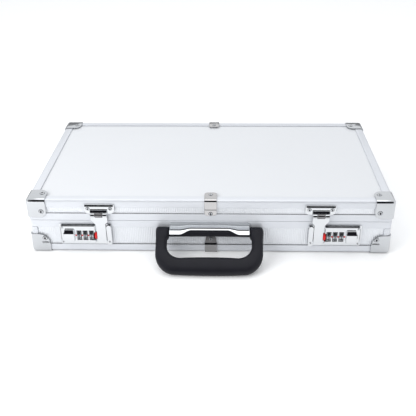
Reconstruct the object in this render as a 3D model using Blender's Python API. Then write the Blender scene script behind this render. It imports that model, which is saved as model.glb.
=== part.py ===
"""A poker chip case: a flat aluminium-framed carrying case with two combination locks.

The case lies on its base, closed, with the handle folded down in front of it. Lengths
are in millimetres and finish() scales them to metres. While a piece is being modelled,
x = 0 is the middle of the width, y = 0 the middle of the body's depth (the front is -y)
and z = 0 the surface the case rests on. At the end the whole case is moved along y, so
that the origin lies under the middle of its overall size, handle and hinges included.
"""

import math

import bmesh
import bpy
from mathutils import Matrix, Vector

MM = 0.001

# ---- driving dimensions -------------------------------------------------------------
WIDTH, DEPTH, HEIGHT = 386.6, 213.0, 65.2     # over the corner protectors
GAP = 0.3                                     # clearance between neighbouring pieces
STEEL = 0.8                                   # sheet thickness of protectors and clips
EXTRUSION = 1.0                               # wall of the aluminium edge profiles
BOARD = 4.0                                   # side boards
PANEL = 3.0                                   # top and bottom panels
SPLIT = 39.6                                  # height of the seam between base and lid

# ---- the shell, measured inwards from the faces of the aluminium profiles ------------
SHELL_X = WIDTH / 2 - STEEL - GAP
SHELL_Y = DEPTH / 2 - STEEL - GAP
SHELL_LOW = STEEL + GAP
SHELL_HIGH = HEIGHT - STEEL - GAP
CORNER_RADIUS = 3.5                           # upright corners of the shell
EDGE_RADIUS = 2.5                             # rounded long edges of the profiles
EDGE_LEG = 8.7                                # edge profile's height on the sides
EDGE_FLANGE = 9.5                             # and its width on the top and underneath
BASE_CLOSURE_LOW = 31.3                       # lower edge of the base's closure profile
LID_CLOSURE_HIGH = 47.9                       # upper edge of the lid's closure profile
SEAM = 0.15                                   # each closure profile stops this far off it
TONGUE_HIGH = 42.6                            # the base's tongue stands up inside the lid
BOARD_FACE = EXTRUSION + GAP                  # outer face of the boards
BOARD_BACK = BOARD_FACE + BOARD
TONGUE = BOARD_BACK + GAP
LINING = BOARD_BACK + GAP                     # trays and lid pad start here

# ---- corner protectors and clips -----------------------------------------------------
LEAF_X, LEAF_Y = 20.6, 21.6
LID_LEAF, BASE_LEAF = 21.7, 22.6              # how far the upright leaves reach
LID_RIVET, BASE_RIVET = 14.5, 17.7            # and how far their rivets are from the tip
PROTECTOR_RADIUS = 3.4
CLIP_X, CLIP_WIDTH = 1.2, 13.0                # the clips sit a little off the middle
CLIP_REACH = 17.4
CLIP_BEND = 2.6
RIVET_RADIUS, RIVET_HEIGHT = 2.3, 0.6

# ---- front hardware: depths are measured from the front of the case --------------------
FRONT = -DEPTH / 2
SHEET_BACK = -SHELL_Y - GAP                   # fittings sit against the profiles
SHEET_FRONT = SHEET_BACK - 1.2

# ---- combination lock, as built on the right-hand side ---------------------------------
LOCK_INNER, LOCK_OUTER = 104.6, 160.6
LOCK_LOW, LOCK_HIGH = 11.0, 35.9
HOUSING_INNER, HOUSING_OUTER = 121.6, 159.3
HOUSING_LOW, HOUSING_HIGH = 12.6, 35.0
HOUSING_FRONT = FRONT - 2.8
HOUSING_WALL = 0.9
DIAL_Y, DIAL_Z = FRONT + 1.4, 23.2
DIAL_RADIUS, DIAL_BORE, DIAL_WIDTH = 6.5, 1.6, 4.6
DIAL_CENTRES = (126.2, 132.8, 139.4)
AXLE_RADIUS = 1.3
BUTTON_INNER, BUTTON_OUTER = 144.2, 155.3
BUTTON_FRONT = FRONT - 7.0
BUTTON_TRAVEL = 3.4
TAB_RADIUS, TAB_Z = 5.0, 22.0
TAB_INNER, TAB_OUTER = 120.3, 122.9
HASP_INNER, HASP_OUTER, HASP_SHOULDER = 110.3, 120.0, 125.2

# ---- hasp pivot on the lid and hinge pivot at the back ----------------------------------
HASP_Y, HASP_Z = FRONT - 2.8, 48.4
HASP_KNUCKLE, HASP_BORE, HASP_PIN = 2.1, 1.3, 1.0
HASP_THICK = 1.2
KNUCKLES = (107.8, 112.4, 120.6, 125.2)       # where the hasp's two knuckles start and end
HINGE_KNUCKLE, HINGE_BORE, HINGE_PIN = 2.5, 1.3, 1.0
HINGE_Y = SHELL_Y + GAP + HINGE_KNUCKLE
HINGE_Z = SPLIT
HINGE_X, HINGE_WIDTH = 115.0, 30.0

# ---- carrying handle ---------------------------------------------------------------------
HANDLE_Y, HANDLE_Z = FRONT - 5.8, 28.7
HANDLE_DROP = math.radians(32.3)              # it hangs this far below the horizontal
BRACKET_HALF = 42.0
ARM_INNER, ARM_OUTER = 42.6, 55.8
HANDLE_HALF_THICK = 6.0
ARM_ENDS = (                                  # reach past the pivot, share of the thickness,
    (6.5, 0.15, 2.6), (5.7, 0.42, 1.5),       # and how far the outer edge is rounded off
    (3.6, 0.80, 0.4), (0.0, 1.00, 0.0), (-5.2, 1.0, 0.0),
)
INNER_BEND = (30.0, 15.0, 14.4, 14.2)         # quarter ellipses: x and distance from the pivot
OUTER_BEND = (35.0, 24.0, 20.4, 22.9)         # of the centre, then half width and half height
GRIP_CROWN = 0.9                              # the grip is this much fuller at its middle

# ---- inside ------------------------------------------------------------------------------
TRAY_HIGH = 30.0
CHIP_PITCH, CHIP_CHANNEL, CHIP_Z, CHIP_LENGTH = 42.5, 20.5, 28.6, 166.0
CENTRE_HALF = 48.9
CARD_WELL = (92.0, 67.0)
MIDDLE_WELL = (92.0, 50.0)
PAD_LOW = 50.2

FINISHES = {                                  # colour, roughness, metallic
    "anodised_aluminium": ((0.80, 0.82, 0.84), 0.32, 1.0),
    "ribbed_panel": ((0.86, 0.88, 0.90), 0.45, 0.6),
    "pale_panel": ((0.88, 0.90, 0.93), 0.55, 0.0),
    "nickel_steel": ((0.66, 0.66, 0.65), 0.25, 1.0),
    "chrome": ((0.82, 0.83, 0.85), 0.08, 1.0),
    "black_plastic": ((0.02, 0.02, 0.025), 0.50, 0.0),
    "dial_plastic": ((0.05, 0.05, 0.06), 0.35, 0.0),
    "red_plastic": ((0.72, 0.03, 0.02), 0.35, 0.0),
    "tray_lining": ((0.015, 0.015, 0.017), 0.90, 0.0),
}


# ---- outlines ------------------------------------------------------------------------------

def arc(centre, radius, start, end, steps):
    """Points along an arc, both ends included; angles in degrees."""
    points = []
    for step in range(steps + 1):
        angle = math.radians(start + (end - start) * step / steps)
        points.append((centre[0] + radius * math.cos(angle), centre[1] + radius * math.sin(angle)))
    return points


def circle(centre, radius, steps):
    return arc(centre, radius, 0, 360, steps)[:-1]


def rounded_outline(low, high, radius, steps=3):
    """A rectangle with rounded corners, anticlockwise."""
    (x0, y0), (x1, y1) = low, high
    return (
        arc((x1 - radius, y0 + radius), radius, -90, 0, steps)
        + arc((x1 - radius, y1 - radius), radius, 0, 90, steps)
        + arc((x0 + radius, y1 - radius), radius, 90, 180, steps)
        + arc((x0 + radius, y0 + radius), radius, 180, 270, steps)
    )


def strip_outline(path, thickness):
    """The outline of a bent strip: the path is one side, the other lies to its right."""
    path = [Vector(point) for point in path]
    other = []
    for index, point in enumerate(path):
        before = (point - path[index - 1]).normalized() if index else None
        after = (path[index + 1] - point).normalized() if index + 1 < len(path) else None
        before = before or after
        after = after or before
        normal_a = Vector((before.y, -before.x))
        normal_b = Vector((after.y, -after.x))
        bisector = (normal_a + normal_b).normalized()
        other.append(point + bisector * (thickness / bisector.dot(normal_a)))
    return [tuple(point) for point in path + other[::-1]]


# ---- solids --------------------------------------------------------------------------------

def tidy(shape):
    bmesh.ops.remove_doubles(shape, verts=shape.verts, dist=0.002)
    bmesh.ops.recalc_face_normals(shape, faces=shape.faces)
    return shape


def skin(loops, closed=False):
    """Join equal-length loops of points by quads, and cap the two ends unless closed."""
    shape = bmesh.new()
    rows = [[shape.verts.new(point) for point in loop] for loop in loops]
    count = len(rows[0])
    pairs = list(zip(rows, rows[1:]))
    if closed:
        pairs.append((rows[-1], rows[0]))
    for lower, upper in pairs:
        for index in range(count):
            following = (index + 1) % count
            shape.faces.new((lower[index], lower[following], upper[following], upper[index]))
    if not closed:
        shape.faces.new(rows[0][::-1])
        shape.faces.new(rows[-1])
    return tidy(shape)


def prism(outline, axis, start, end):
    """A straight bar: outline points are (y, z), (x, z) or (x, y) for axis x, y or z."""
    def place(point, depth):
        u, v = point
        return {"x": (depth, u, v), "y": (u, depth, v), "z": (u, v, depth)}[axis]
    return skin([[place(point, depth) for point in outline] for depth in (start, end)])


def block(low, high):
    outline = [(low[0], low[1]), (high[0], low[1]), (high[0], high[1]), (low[0], high[1])]
    return prism(outline, "z", low[2], high[2])


def rod(centre, radius, start, end, steps=16):
    """A round bar along x; centre is its (y, z)."""
    return prism(circle(centre, radius, steps), "x", start, end)


def stud(centre, normal, radius=RIVET_RADIUS, height=RIVET_HEIGHT):
    """A low rivet head whose foot is sunk 0.3 into the sheet it holds."""
    shape = bmesh.new()
    bmesh.ops.create_cone(
        shape, cap_ends=True, segments=10, radius1=radius, radius2=radius * 0.7,
        depth=height + 0.3,
    )
    turn = Vector((0, 0, 1)).rotation_difference(Vector(normal)).to_matrix().to_4x4()
    middle = Vector(centre) + Vector(normal) * ((height - 0.3) / 2)
    bmesh.ops.transform(shape, matrix=Matrix.Translation(middle) @ turn, verts=shape.verts)
    return shape


def mirrored(shape, x=1, y=1, z=1):
    """A mirrored copy, with its faces turned right side out again."""
    copy = shape.copy()
    bmesh.ops.scale(copy, vec=(x, y, z), verts=copy.verts)
    if x * y * z < 0:
        bmesh.ops.reverse_faces(copy, faces=copy.faces)
    return copy


def moved(shape, offset):
    bmesh.ops.translate(shape, vec=offset, verts=shape.verts)
    return shape


def helper_object(shape):
    """A scratch object that a Boolean can read; combine() removes it again."""
    mesh = bpy.data.meshes.new("helper")
    shape.to_mesh(mesh)
    scratch = bpy.data.objects.new("helper", mesh)
    bpy.context.collection.objects.link(scratch)
    return scratch


def combine(shape, operation, tools):
    """Join the tools to the shape (UNION), or cut them from it (DIFFERENCE), one by one."""
    body = helper_object(shape)
    scratch = [helper_object(tool) for tool in tools]
    for tool in scratch:
        modifier = body.modifiers.new("combine", "BOOLEAN")
        modifier.operation = operation
        modifier.object = tool
    evaluated = body.evaluated_get(bpy.context.evaluated_depsgraph_get())
    result = bmesh.new()
    result.from_mesh(evaluated.to_mesh())
    evaluated.to_mesh_clear()
    for used in [body] + scratch:
        mesh = used.data
        bpy.data.objects.remove(used)
        bpy.data.meshes.remove(mesh)
    bmesh.ops.remove_doubles(result, verts=result.verts, dist=0.002)
    bmesh.ops.dissolve_limit(
        result, angle_limit=math.radians(0.3), verts=result.verts, edges=result.edges
    )
    return result


def join(shape, *tools):
    return combine(shape, "UNION", tools)


def cut(shape, *tools):
    return combine(shape, "DIFFERENCE", tools)


# ---- objects ---------------------------------------------------------------------------------

def material(name):
    if name in bpy.data.materials:
        return bpy.data.materials[name]
    colour, roughness, metallic = FINISHES[name]
    made = bpy.data.materials.new(name)
    made.use_nodes = True
    shader = made.node_tree.nodes["Principled BSDF"]
    shader.inputs["Base Color"].default_value = (*colour, 1)
    shader.inputs["Roughness"].default_value = roughness
    shader.inputs["Metallic"].default_value = metallic
    made.diffuse_color = (*colour, 1)
    return made


def pivot_empty(name, pivot):
    empty = bpy.data.objects.new(name, None)
    empty.location = Vector(pivot) * MM
    bpy.context.collection.objects.link(empty)
    return empty


def finish(name, shape, finish_name, pivot=(0, 0, 0), parent=None):
    """Make a named object in metres whose origin is at the pivot."""
    bmesh.ops.translate(shape, vec=-Vector(pivot), verts=shape.verts)
    bmesh.ops.scale(shape, vec=(MM, MM, MM), verts=shape.verts)
    mesh = bpy.data.meshes.new(name)
    shape.to_mesh(mesh)
    shape.free()
    mesh.shade_smooth()
    mesh.set_sharp_from_angle(angle=math.radians(32))
    mesh.materials.append(material(finish_name))
    made = bpy.data.objects.new(name, mesh)
    made.location = Vector(pivot) * MM
    if parent:
        made.parent = parent
        made.location = made.location - parent.location
    bpy.context.collection.objects.link(made)
    return made


# ---- shell -------------------------------------------------------------------------------------

def rectangle(inset, z):
    """The shell's plan outline at a height, inset from the outer faces of the profiles."""
    radius = max(CORNER_RADIUS - inset, 0)
    half = (SHELL_X - inset, SHELL_Y - inset)
    outline = rounded_outline((-half[0], -half[1]), half, radius, steps=4)
    return [(x, y, z) for x, y in outline]


def frame_ring(profile):
    """A closed frame whose section, as (inset, z) points, runs round the case."""
    return skin([rectangle(inset, z) for inset, z in profile], closed=True)


def slab(inset, low, high):
    return skin([rectangle(inset, low), rectangle(inset, high)])


def upright_board(low, high):
    return frame_ring([(BOARD_FACE, low), (BOARD_BACK, low), (BOARD_BACK, high), (BOARD_FACE, high)])


def edge_profile(side_end, level, into):
    """Section of an edge profile; into is +1 if the body lies above the flange, else -1."""
    bend = arc((EDGE_RADIUS, level + into * EDGE_RADIUS), EDGE_RADIUS, 180, 180 + into * 90, 3)
    return [
        (0, side_end), *bend, (EDGE_FLANGE, level),
        (EDGE_FLANGE, level + into * EXTRUSION), (EXTRUSION, level + into * EXTRUSION),
        (EXTRUSION, side_end),
    ]


def base_shell():
    board_low = SHELL_LOW + EXTRUSION + PANEL + 2 * GAP
    closure_high = SPLIT - SEAM
    board = upright_board(board_low, closure_high - EXTRUSION - GAP)
    openings = []
    for side in (1, -1):
        xs = sorted((side * (TAB_INNER - 0.9), side * (HOUSING_OUTER + GAP)))
        openings.append(block((xs[0], FRONT, 15.1), (xs[1], FRONT + 9, BASE_CLOSURE_LOW)))
    finish("base_side_wall", cut(board, *openings), "ribbed_panel")
    panel_low = SHELL_LOW + EXTRUSION + GAP
    finish("base_bottom_panel", slab(BOARD_FACE, panel_low, panel_low + PANEL), "ribbed_panel")
    profile = edge_profile(SHELL_LOW + EDGE_LEG, SHELL_LOW, 1)
    finish("base_edge_frame", frame_ring(profile), "anodised_aluminium")
    closure = [
        (0, BASE_CLOSURE_LOW), (0, closure_high), (TONGUE, closure_high),
        (TONGUE, TONGUE_HIGH), (TONGUE + EXTRUSION, TONGUE_HIGH),
        (TONGUE + EXTRUSION, closure_high - EXTRUSION), (EXTRUSION, closure_high - EXTRUSION),
        (EXTRUSION, BASE_CLOSURE_LOW),
    ]
    finish("base_closure_frame", frame_ring(closure), "anodised_aluminium")


def lid_shell(pivot, parent):
    panel_high = SHELL_HIGH - EXTRUSION - GAP
    closure_low = SPLIT + SEAM
    board_high = panel_high - PANEL - GAP
    board = upright_board(closure_low + EXTRUSION + GAP, board_high)
    finish("lid_side_wall", board, "ribbed_panel", pivot, parent)
    panel = slab(BOARD_FACE, panel_high - PANEL, panel_high)
    finish("lid_top_panel", panel, "pale_panel", pivot, parent)
    profile = edge_profile(SHELL_HIGH - EDGE_LEG, SHELL_HIGH, -1)
    finish("lid_edge_frame", frame_ring(profile), "anodised_aluminium", pivot, parent)
    closure = [
        (0, LID_CLOSURE_HIGH), (0, closure_low), (BOARD_BACK, closure_low),
        (BOARD_BACK, closure_low + EXTRUSION), (EXTRUSION, closure_low + EXTRUSION),
        (EXTRUSION, LID_CLOSURE_HIGH),
    ]
    finish("lid_closure_frame", frame_ring(closure), "anodised_aluminium", pivot, parent)
    pad = block((-SHELL_X + LINING, -SHELL_Y + LINING, PAD_LOW),
                (SHELL_X - LINING, SHELL_Y - LINING, board_high))
    finish("lid_foam_pad", pad, "tray_lining", pivot, parent)


def corner_angles():
    """The short upright angle strips on the base, from edge profile to closure profile."""
    reach = 7.3
    outside = arc((SHELL_X - CORNER_RADIUS, SHELL_Y - CORNER_RADIUS), CORNER_RADIUS, 0, 90, 4)
    inner = CORNER_RADIUS - EXTRUSION
    inside = arc((SHELL_X - CORNER_RADIUS, SHELL_Y - CORNER_RADIUS), inner, 90, 0, 4)
    outline = [
        (SHELL_X, SHELL_Y - reach), *outside, (SHELL_X - reach, SHELL_Y),
        (SHELL_X - reach, SHELL_Y - EXTRUSION), *inside, (SHELL_X - EXTRUSION, SHELL_Y - reach),
    ]
    low, high = SHELL_LOW + EDGE_LEG + GAP, BASE_CLOSURE_LOW - GAP
    angle = prism(outline, "z", low, high)
    for name, x, y in corner_names():
        finish(f"base_corner_angle_{name}", mirrored(angle, x, y), "anodised_aluminium")
    angle.free()


def corner_names():
    return (("front_left", -1, -1), ("front_right", 1, -1), ("rear_left", -1, 1), ("rear_right", 1, 1))


# ---- corner protectors and clips -----------------------------------------------------------------

def rounded_corner(reach, inset, radius, overrun):
    """A block whose corner is at the origin, its three edges there rounded by a bevel."""
    low = (-reach[0] - overrun, -reach[1] - overrun, -reach[2] - overrun)
    high = (-inset, -inset, -inset)
    shape = block(low, high)
    edges = [
        edge for edge in shape.edges
        if sum(all(abs(vert.co[axis] + inset) < 1e-3 for vert in edge.verts) for axis in range(3)) == 2
    ]
    bmesh.ops.bevel(shape, geom=edges, offset=radius, segments=3, profile=0.5, affect="EDGES")
    return tidy(shape)


def leaf_trim(radius):
    """The corner of a square outside a quarter circle, with its tip at the origin."""
    return arc((radius, radius), radius, 180, 270, 5) + [(-1, -1)]


def protector(leaf, rivet, side_radius, flat_radius, flat_rivet):
    """A pressed steel corner for the +x, +y, +z corner, whose tip is the origin."""
    reach = (LEAF_X, LEAF_Y, leaf)
    solid = rounded_corner(reach, 0, PROTECTOR_RADIUS, 0)
    hollow = rounded_corner(reach, STEEL, PROTECTOR_RADIUS - STEEL, 5)
    flat = moved(prism(leaf_trim(flat_radius), "z", -STEEL - 1, 1), (-LEAF_X, -LEAF_Y, 0))
    along_x = moved(prism(leaf_trim(side_radius), "y", -STEEL - 1, 1), (-LEAF_X, 0, -leaf))
    along_y = moved(prism(leaf_trim(side_radius), "x", -STEEL - 1, 1), (0, -LEAF_Y, -leaf))
    shape = cut(solid, hollow, flat, along_x, along_y)
    rivets = [stud((-15.5, 0, -rivet), (0, 1, 0)), stud((0, -15.5, -rivet), (1, 0, 0))]
    if flat_rivet:
        rivets.append(stud((-15.5, -13.5, 0), (0, 0, 1)))
    return join(shape, *rivets)


def protectors(pivot, parent):
    upper = moved(protector(LID_LEAF, LID_RIVET, 6.5, 8.0, True), (WIDTH / 2, DEPTH / 2, HEIGHT))
    lower = mirrored(protector(BASE_LEAF, BASE_RIVET, 12.0, 12.0, False), z=-1)
    lower = moved(lower, (WIDTH / 2, DEPTH / 2, 0))
    for name, x, y in corner_names():
        finish(f"lid_protector_{name}", mirrored(upper, x, y), "nickel_steel", pivot, parent)
        finish(f"base_protector_{name}", mirrored(lower, x, y), "nickel_steel")


def round_ends(strip, radius, low, back):
    """Round the corners of a clip's two ends: low is one end's z, back the other's y."""
    trims = []
    for side in (-1, 1):
        edge = side * CLIP_WIDTH / 2
        lower = moved(mirrored(prism(leaf_trim(radius), "y", -2, 4), x=-side), (edge, FRONT, low))
        upper = moved(mirrored(prism(leaf_trim(radius), "z", -3, 3), x=-side, y=-1), (edge, back, 0))
        trims.append(lower)
        trims.append(upper)
    return cut(strip, *trims)


def lid_clip():
    """The bent steel clip at the middle of the lid's front edge, thinner at its lower end."""
    low, step = 46.3, 53.7
    centre = (FRONT + CLIP_BEND, HEIGHT - CLIP_BEND)
    outline = [
        (FRONT + STEEL, low), (FRONT + 0.3, low), (FRONT + 0.3, step - 0.4), (FRONT, step),
        *arc(centre, CLIP_BEND, 180, 90, 3), (FRONT + CLIP_REACH, HEIGHT),
        (FRONT + CLIP_REACH, HEIGHT - STEEL), *arc(centre, CLIP_BEND - STEEL, 90, 180, 3),
    ]
    strip = moved(prism(outline, "x", -CLIP_WIDTH / 2, CLIP_WIDTH / 2), (0, 0, -HEIGHT))
    strip = moved(round_ends(strip, 3.2, low - HEIGHT, FRONT + CLIP_REACH), (0, 0, HEIGHT))
    return join(strip, stud((0, FRONT + 0.3, 48.9), (0, -1, 0), 1.9),
                stud((0, FRONT + 12.2, HEIGHT), (0, 0, 1), 1.9))


def base_clip():
    """The clip at the middle of the base's front edge, stepped back onto the board."""
    joggle, step = 10.5, EXTRUSION + GAP
    path = [
        (FRONT + CLIP_REACH, 0), *arc((FRONT + CLIP_BEND, CLIP_BEND), CLIP_BEND, 270, 180, 3),
        (FRONT, joggle), (FRONT + step, joggle + step), (FRONT + step, 20.3),
    ]
    strip = prism(strip_outline(path, STEEL), "x", -CLIP_WIDTH / 2, CLIP_WIDTH / 2)
    strip = round_ends(mirrored(strip, z=-1), 3.0, -20.3, FRONT + CLIP_REACH)
    return join(mirrored(strip, z=-1), stud((0, FRONT + step, 17.2), (0, -1, 0), 1.9))


def clips(pivot, parent):
    upper = moved(lid_clip(), (CLIP_X, 0, 0))
    lower = moved(base_clip(), (CLIP_X, 0, 0))
    for name, y in (("front", 1), ("rear", -1)):
        finish(f"lid_{name}_clip", mirrored(upper, y=y), "nickel_steel", pivot, parent)
        finish(f"base_{name}_clip", mirrored(lower, y=y), "nickel_steel")


# ---- combination locks ------------------------------------------------------------------------------

def lock_body():
    """Back plate, raised dial housing and guard rim, pressed from one sheet."""
    outline = rounded_outline((LOCK_INNER, LOCK_LOW), (LOCK_OUTER, LOCK_HIGH), 1.5)
    plate = prism(outline, "y", SHEET_FRONT, SHEET_BACK)
    edge = 0.8
    foot = rounded_outline((HOUSING_INNER, HOUSING_LOW), (HOUSING_OUTER, HOUSING_HIGH), 1.6)
    face = rounded_outline((HOUSING_INNER + edge, HOUSING_LOW + edge),
                           (HOUSING_OUTER - edge, HOUSING_HIGH - edge), 1.0)
    sunk = SHEET_FRONT + 0.6
    housing = skin([
        [(x, HOUSING_FRONT, z) for x, z in face],
        [(x, HOUSING_FRONT + edge, z) for x, z in foot],
        [(x, sunk, z) for x, z in foot],
    ])
    guard_half = 2.6
    guard_x = LOCK_INNER + 0.2 + guard_half
    guard_top = arc((guard_x, LOCK_HIGH - 0.8 - guard_half), guard_half, 0, 180, 6)
    guard = prism([(guard_x - guard_half, 11.4), (guard_x + guard_half - 0.5, 11.4)] + guard_top,
                  "y", HOUSING_FRONT + GAP, sunk)
    body = join(plate, housing, guard)
    inside = HOUSING_FRONT + HOUSING_WALL
    chamber = block((HOUSING_INNER + 1.2, inside, 15.1),
                    (HOUSING_OUTER - 0.8, SHEET_BACK + 1, 31.0))
    half = DIAL_WIDTH / 2 + GAP
    cuts = [chamber]
    for x in DIAL_CENTRES:
        cuts.append(block((x - half, HOUSING_FRONT - 1, DIAL_Z - 5.9),
                          (x + half, inside + 0.5, DIAL_Z + 5.9)))
    cuts.append(block((BUTTON_INNER + 2.3, HOUSING_FRONT - 1, 20.9),
                      (BUTTON_OUTER - 2.2 + BUTTON_TRAVEL, inside + 0.5, 26.1)))
    cuts.append(block((HOUSING_INNER - 2, HOUSING_FRONT - 1, TAB_Z - 4.9),
                      (DIAL_CENTRES[0], SHEET_FRONT, TAB_Z + 4.9)))
    cuts.append(block((TAB_INNER - 0.3, SHEET_FRONT - 1, TAB_Z - 2.1),
                      (TAB_INNER + 2.1, SHEET_BACK + 1, TAB_Z + 2.1)))
    cuts.append(block((112.2, SHEET_FRONT - 1, 19.5), (117.8, SHEET_BACK + 1, 28.0)))
    return cut(body, *cuts)


def lock_cover():
    """The cap inside the wall that shuts off the mechanism and carries the dial axle."""
    wall, web = 0.8, BUTTON_INNER - 0.5
    low = (HOUSING_INNER + 1.1, SHEET_BACK + GAP, 15.5)
    high = (HOUSING_OUTER - 0.2, DIAL_Y + DIAL_RADIUS + 1.3, 30.9)
    shape = block(low, high)
    dial_room = block((low[0] + wall, low[1] - 1, low[2] + wall), (web, high[1] - wall, high[2] - wall))
    button_room = block((web + wall, low[1] - 1, low[2] + wall),
                        (high[0] - wall, high[1] - wall, high[2] - wall))
    return cut(shape, dial_room, button_room)


def dial(centre):
    bore = circle((DIAL_Y, DIAL_Z), DIAL_BORE, 20)
    rim = circle((DIAL_Y, DIAL_Z), DIAL_RADIUS, 20)
    start, end = centre - DIAL_WIDTH / 2, centre + DIAL_WIDTH / 2
    section = ((bore, start), (rim, start), (rim, end), (bore, end))
    return skin([[(x, y, z) for y, z in outline] for outline, x in section], closed=True)


def slide_button():
    """The release button: a wedge-topped cap, a stem through the housing and a keeper."""
    back = HOUSING_FRONT - GAP
    side = [(back, 17.0), (BUTTON_FRONT + 0.8, 17.0), (BUTTON_FRONT, 17.8), (BUTTON_FRONT, 28.3),
            (back, 30.9)]
    cap = prism(side, "x", BUTTON_INNER, BUTTON_OUTER)
    inside = HOUSING_FRONT + HOUSING_WALL + GAP
    stem = block((BUTTON_INNER + 2.7, back - 0.5, 21.3), (BUTTON_OUTER - 2.5, inside + 0.5, 25.7))
    keeper = block((BUTTON_INNER + 1.4, inside, 18.5), (BUTTON_OUTER - 1.2, inside + 1.2, 28.5))
    return join(cap, stem, keeper)


def reset_tab():
    """The red tab beside the dials: a disc segment on a stem through the plate."""
    front = SHEET_FRONT - GAP
    half_angle = math.degrees(math.acos((DIAL_Y - front) / TAB_RADIUS))
    segment = arc((DIAL_Y, TAB_Z), TAB_RADIUS, 180 - half_angle, 180 + half_angle, 8)
    head = prism(segment, "x", TAB_INNER, TAB_OUTER)
    stem = block((TAB_INNER + 0.2, front - 0.5, TAB_Z - 1.8),
                 (TAB_INNER + 1.1, SHEET_BACK + 0.5, TAB_Z + 1.8))
    keeper = block((TAB_INNER - 0.5, SHEET_BACK + GAP, TAB_Z - 3.0),
                   (TAB_INNER + 1.1, SHEET_BACK + GAP + 0.8, TAB_Z + 3.0))
    return join(head, stem, keeper)


def knuckle(centre, radius, bore, start, end):
    """A hinge knuckle: a tube along x."""
    inner, outer = circle(centre, bore, 16), circle(centre, radius, 16)
    section = ((inner, start), (outer, start), (outer, end), (inner, end))
    return skin([[(x, y, z) for y, z in outline] for outline, x in section], closed=True)


def hasp():
    """The hanging half of the latch: a stepped plate with two knuckles and a staple."""
    barrel = (HASP_Y, HASP_Z)
    front, back = HASP_Y - HASP_THICK / 2, HASP_Y + HASP_THICK / 2
    root, notch = HASP_Z - 1.5, HASP_Z - HASP_KNUCKLE - 0.4
    low = 13.2
    outline = [
        (HASP_INNER + 1.0, low), (HASP_OUTER - 1.0, low), (HASP_OUTER, low + 1.0),
        (HASP_OUTER, 35.4), (HASP_SHOULDER, 42.6), (HASP_SHOULDER, root),
        (KNUCKLES[2] - GAP, root), (KNUCKLES[2] - GAP, notch), (KNUCKLES[1] + GAP, notch),
        (KNUCKLES[1] + GAP, root), (KNUCKLES[0], root), (KNUCKLES[0], 39.6), (HASP_INNER, 37.4),
        (HASP_INNER, low + 1.0),
    ]
    plate = prism(outline, "y", front, back)
    staple = block((113.0, back - 0.5, 21.6), (117.0, SHEET_FRONT - 0.4, 26.0))
    return join(plate, knuckle(barrel, HASP_KNUCKLE, HASP_BORE, KNUCKLES[0], KNUCKLES[1]),
                knuckle(barrel, HASP_KNUCKLE, HASP_BORE, KNUCKLES[2], KNUCKLES[3]), staple)


def hasp_keeper():
    """The fixed half of the latch, riveted to the lid, with the middle knuckle."""
    low, high = (99.8, 48.7), (132.0, 59.8)
    plate = prism(rounded_outline(low, high, 4.6, steps=4), "y", SHEET_FRONT, SHEET_BACK)
    sunk = SHEET_FRONT + 0.6
    brow_side = [(sunk, 56.9), (FRONT - 1.6, 57.2), (FRONT - 1.6, 57.9), (FRONT - 0.7, high[1] - 0.2),
                 (sunk, high[1] - 0.2)]
    brow = prism(brow_side, "x", low[0] + 3.2, high[0] - 3.2)
    shroud_side = [(sunk, 51.0), (FRONT - 3.3, 51.0), (FRONT - 3.3, 51.7), (FRONT - 1.7, 54.4),
                   (sunk, 54.4)]
    shroud = prism(shroud_side, "x", KNUCKLES[0] - 0.3, KNUCKLES[3] + 0.3)
    ends = (KNUCKLES[1] + 0.4, KNUCKLES[2] - 0.4)
    web = block((ends[0], HASP_Y - 0.2, HASP_Z + 1.5), (ends[1], sunk, 52.0))
    tube = knuckle((HASP_Y, HASP_Z), HASP_KNUCKLE, HASP_BORE, *ends)
    rivets = [stud((x, SHEET_FRONT, 54.6), (0, -1, 0), 1.8) for x in (104.2, 128.0)]
    return join(plate, brow, shroud, web, tube, *rivets)


def lock(side, name, lid_pivot, lid):
    """One complete lock; every piece is modelled on the right and mirrored for the left."""
    def add(piece, shape, finish_name, pivot=(0, 0, 0), parent=None):
        finish(f"{name}_{piece}", mirrored(shape, x=side), finish_name, pivot, parent)
        shape.free()

    add("lock_body", lock_body(), "chrome")
    add("lock_cover", lock_cover(), "nickel_steel")
    axle = rod((DIAL_Y, DIAL_Z), AXLE_RADIUS, HOUSING_INNER + 2.2, BUTTON_INNER - 0.8)
    add("dial_axle", axle, "nickel_steel")
    for number, centre in enumerate(DIAL_CENTRES, start=1):
        add(f"dial_{number}", dial(centre), "dial_plastic", (side * centre, DIAL_Y, DIAL_Z))
    middle = (BUTTON_INNER + BUTTON_OUTER) / 2
    add("slide_button", slide_button(), "chrome", (side * middle, HOUSING_FRONT, DIAL_Z))
    add("reset_tab", reset_tab(), "red_plastic", (side * TAB_OUTER, DIAL_Y, TAB_Z))
    add("hasp_keeper", hasp_keeper(), "chrome", lid_pivot, lid)
    axis = (side * (KNUCKLES[0] + KNUCKLES[3]) / 2, HASP_Y, HASP_Z)
    add("hasp", hasp(), "chrome", axis, lid)
    pin = rod((HASP_Y, HASP_Z), HASP_PIN, KNUCKLES[0] + 0.5, KNUCKLES[3] - 0.5, 12)
    add("hasp_pin", pin, "nickel_steel", axis, lid)


# ---- rear hinges ----------------------------------------------------------------------------------------

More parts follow.
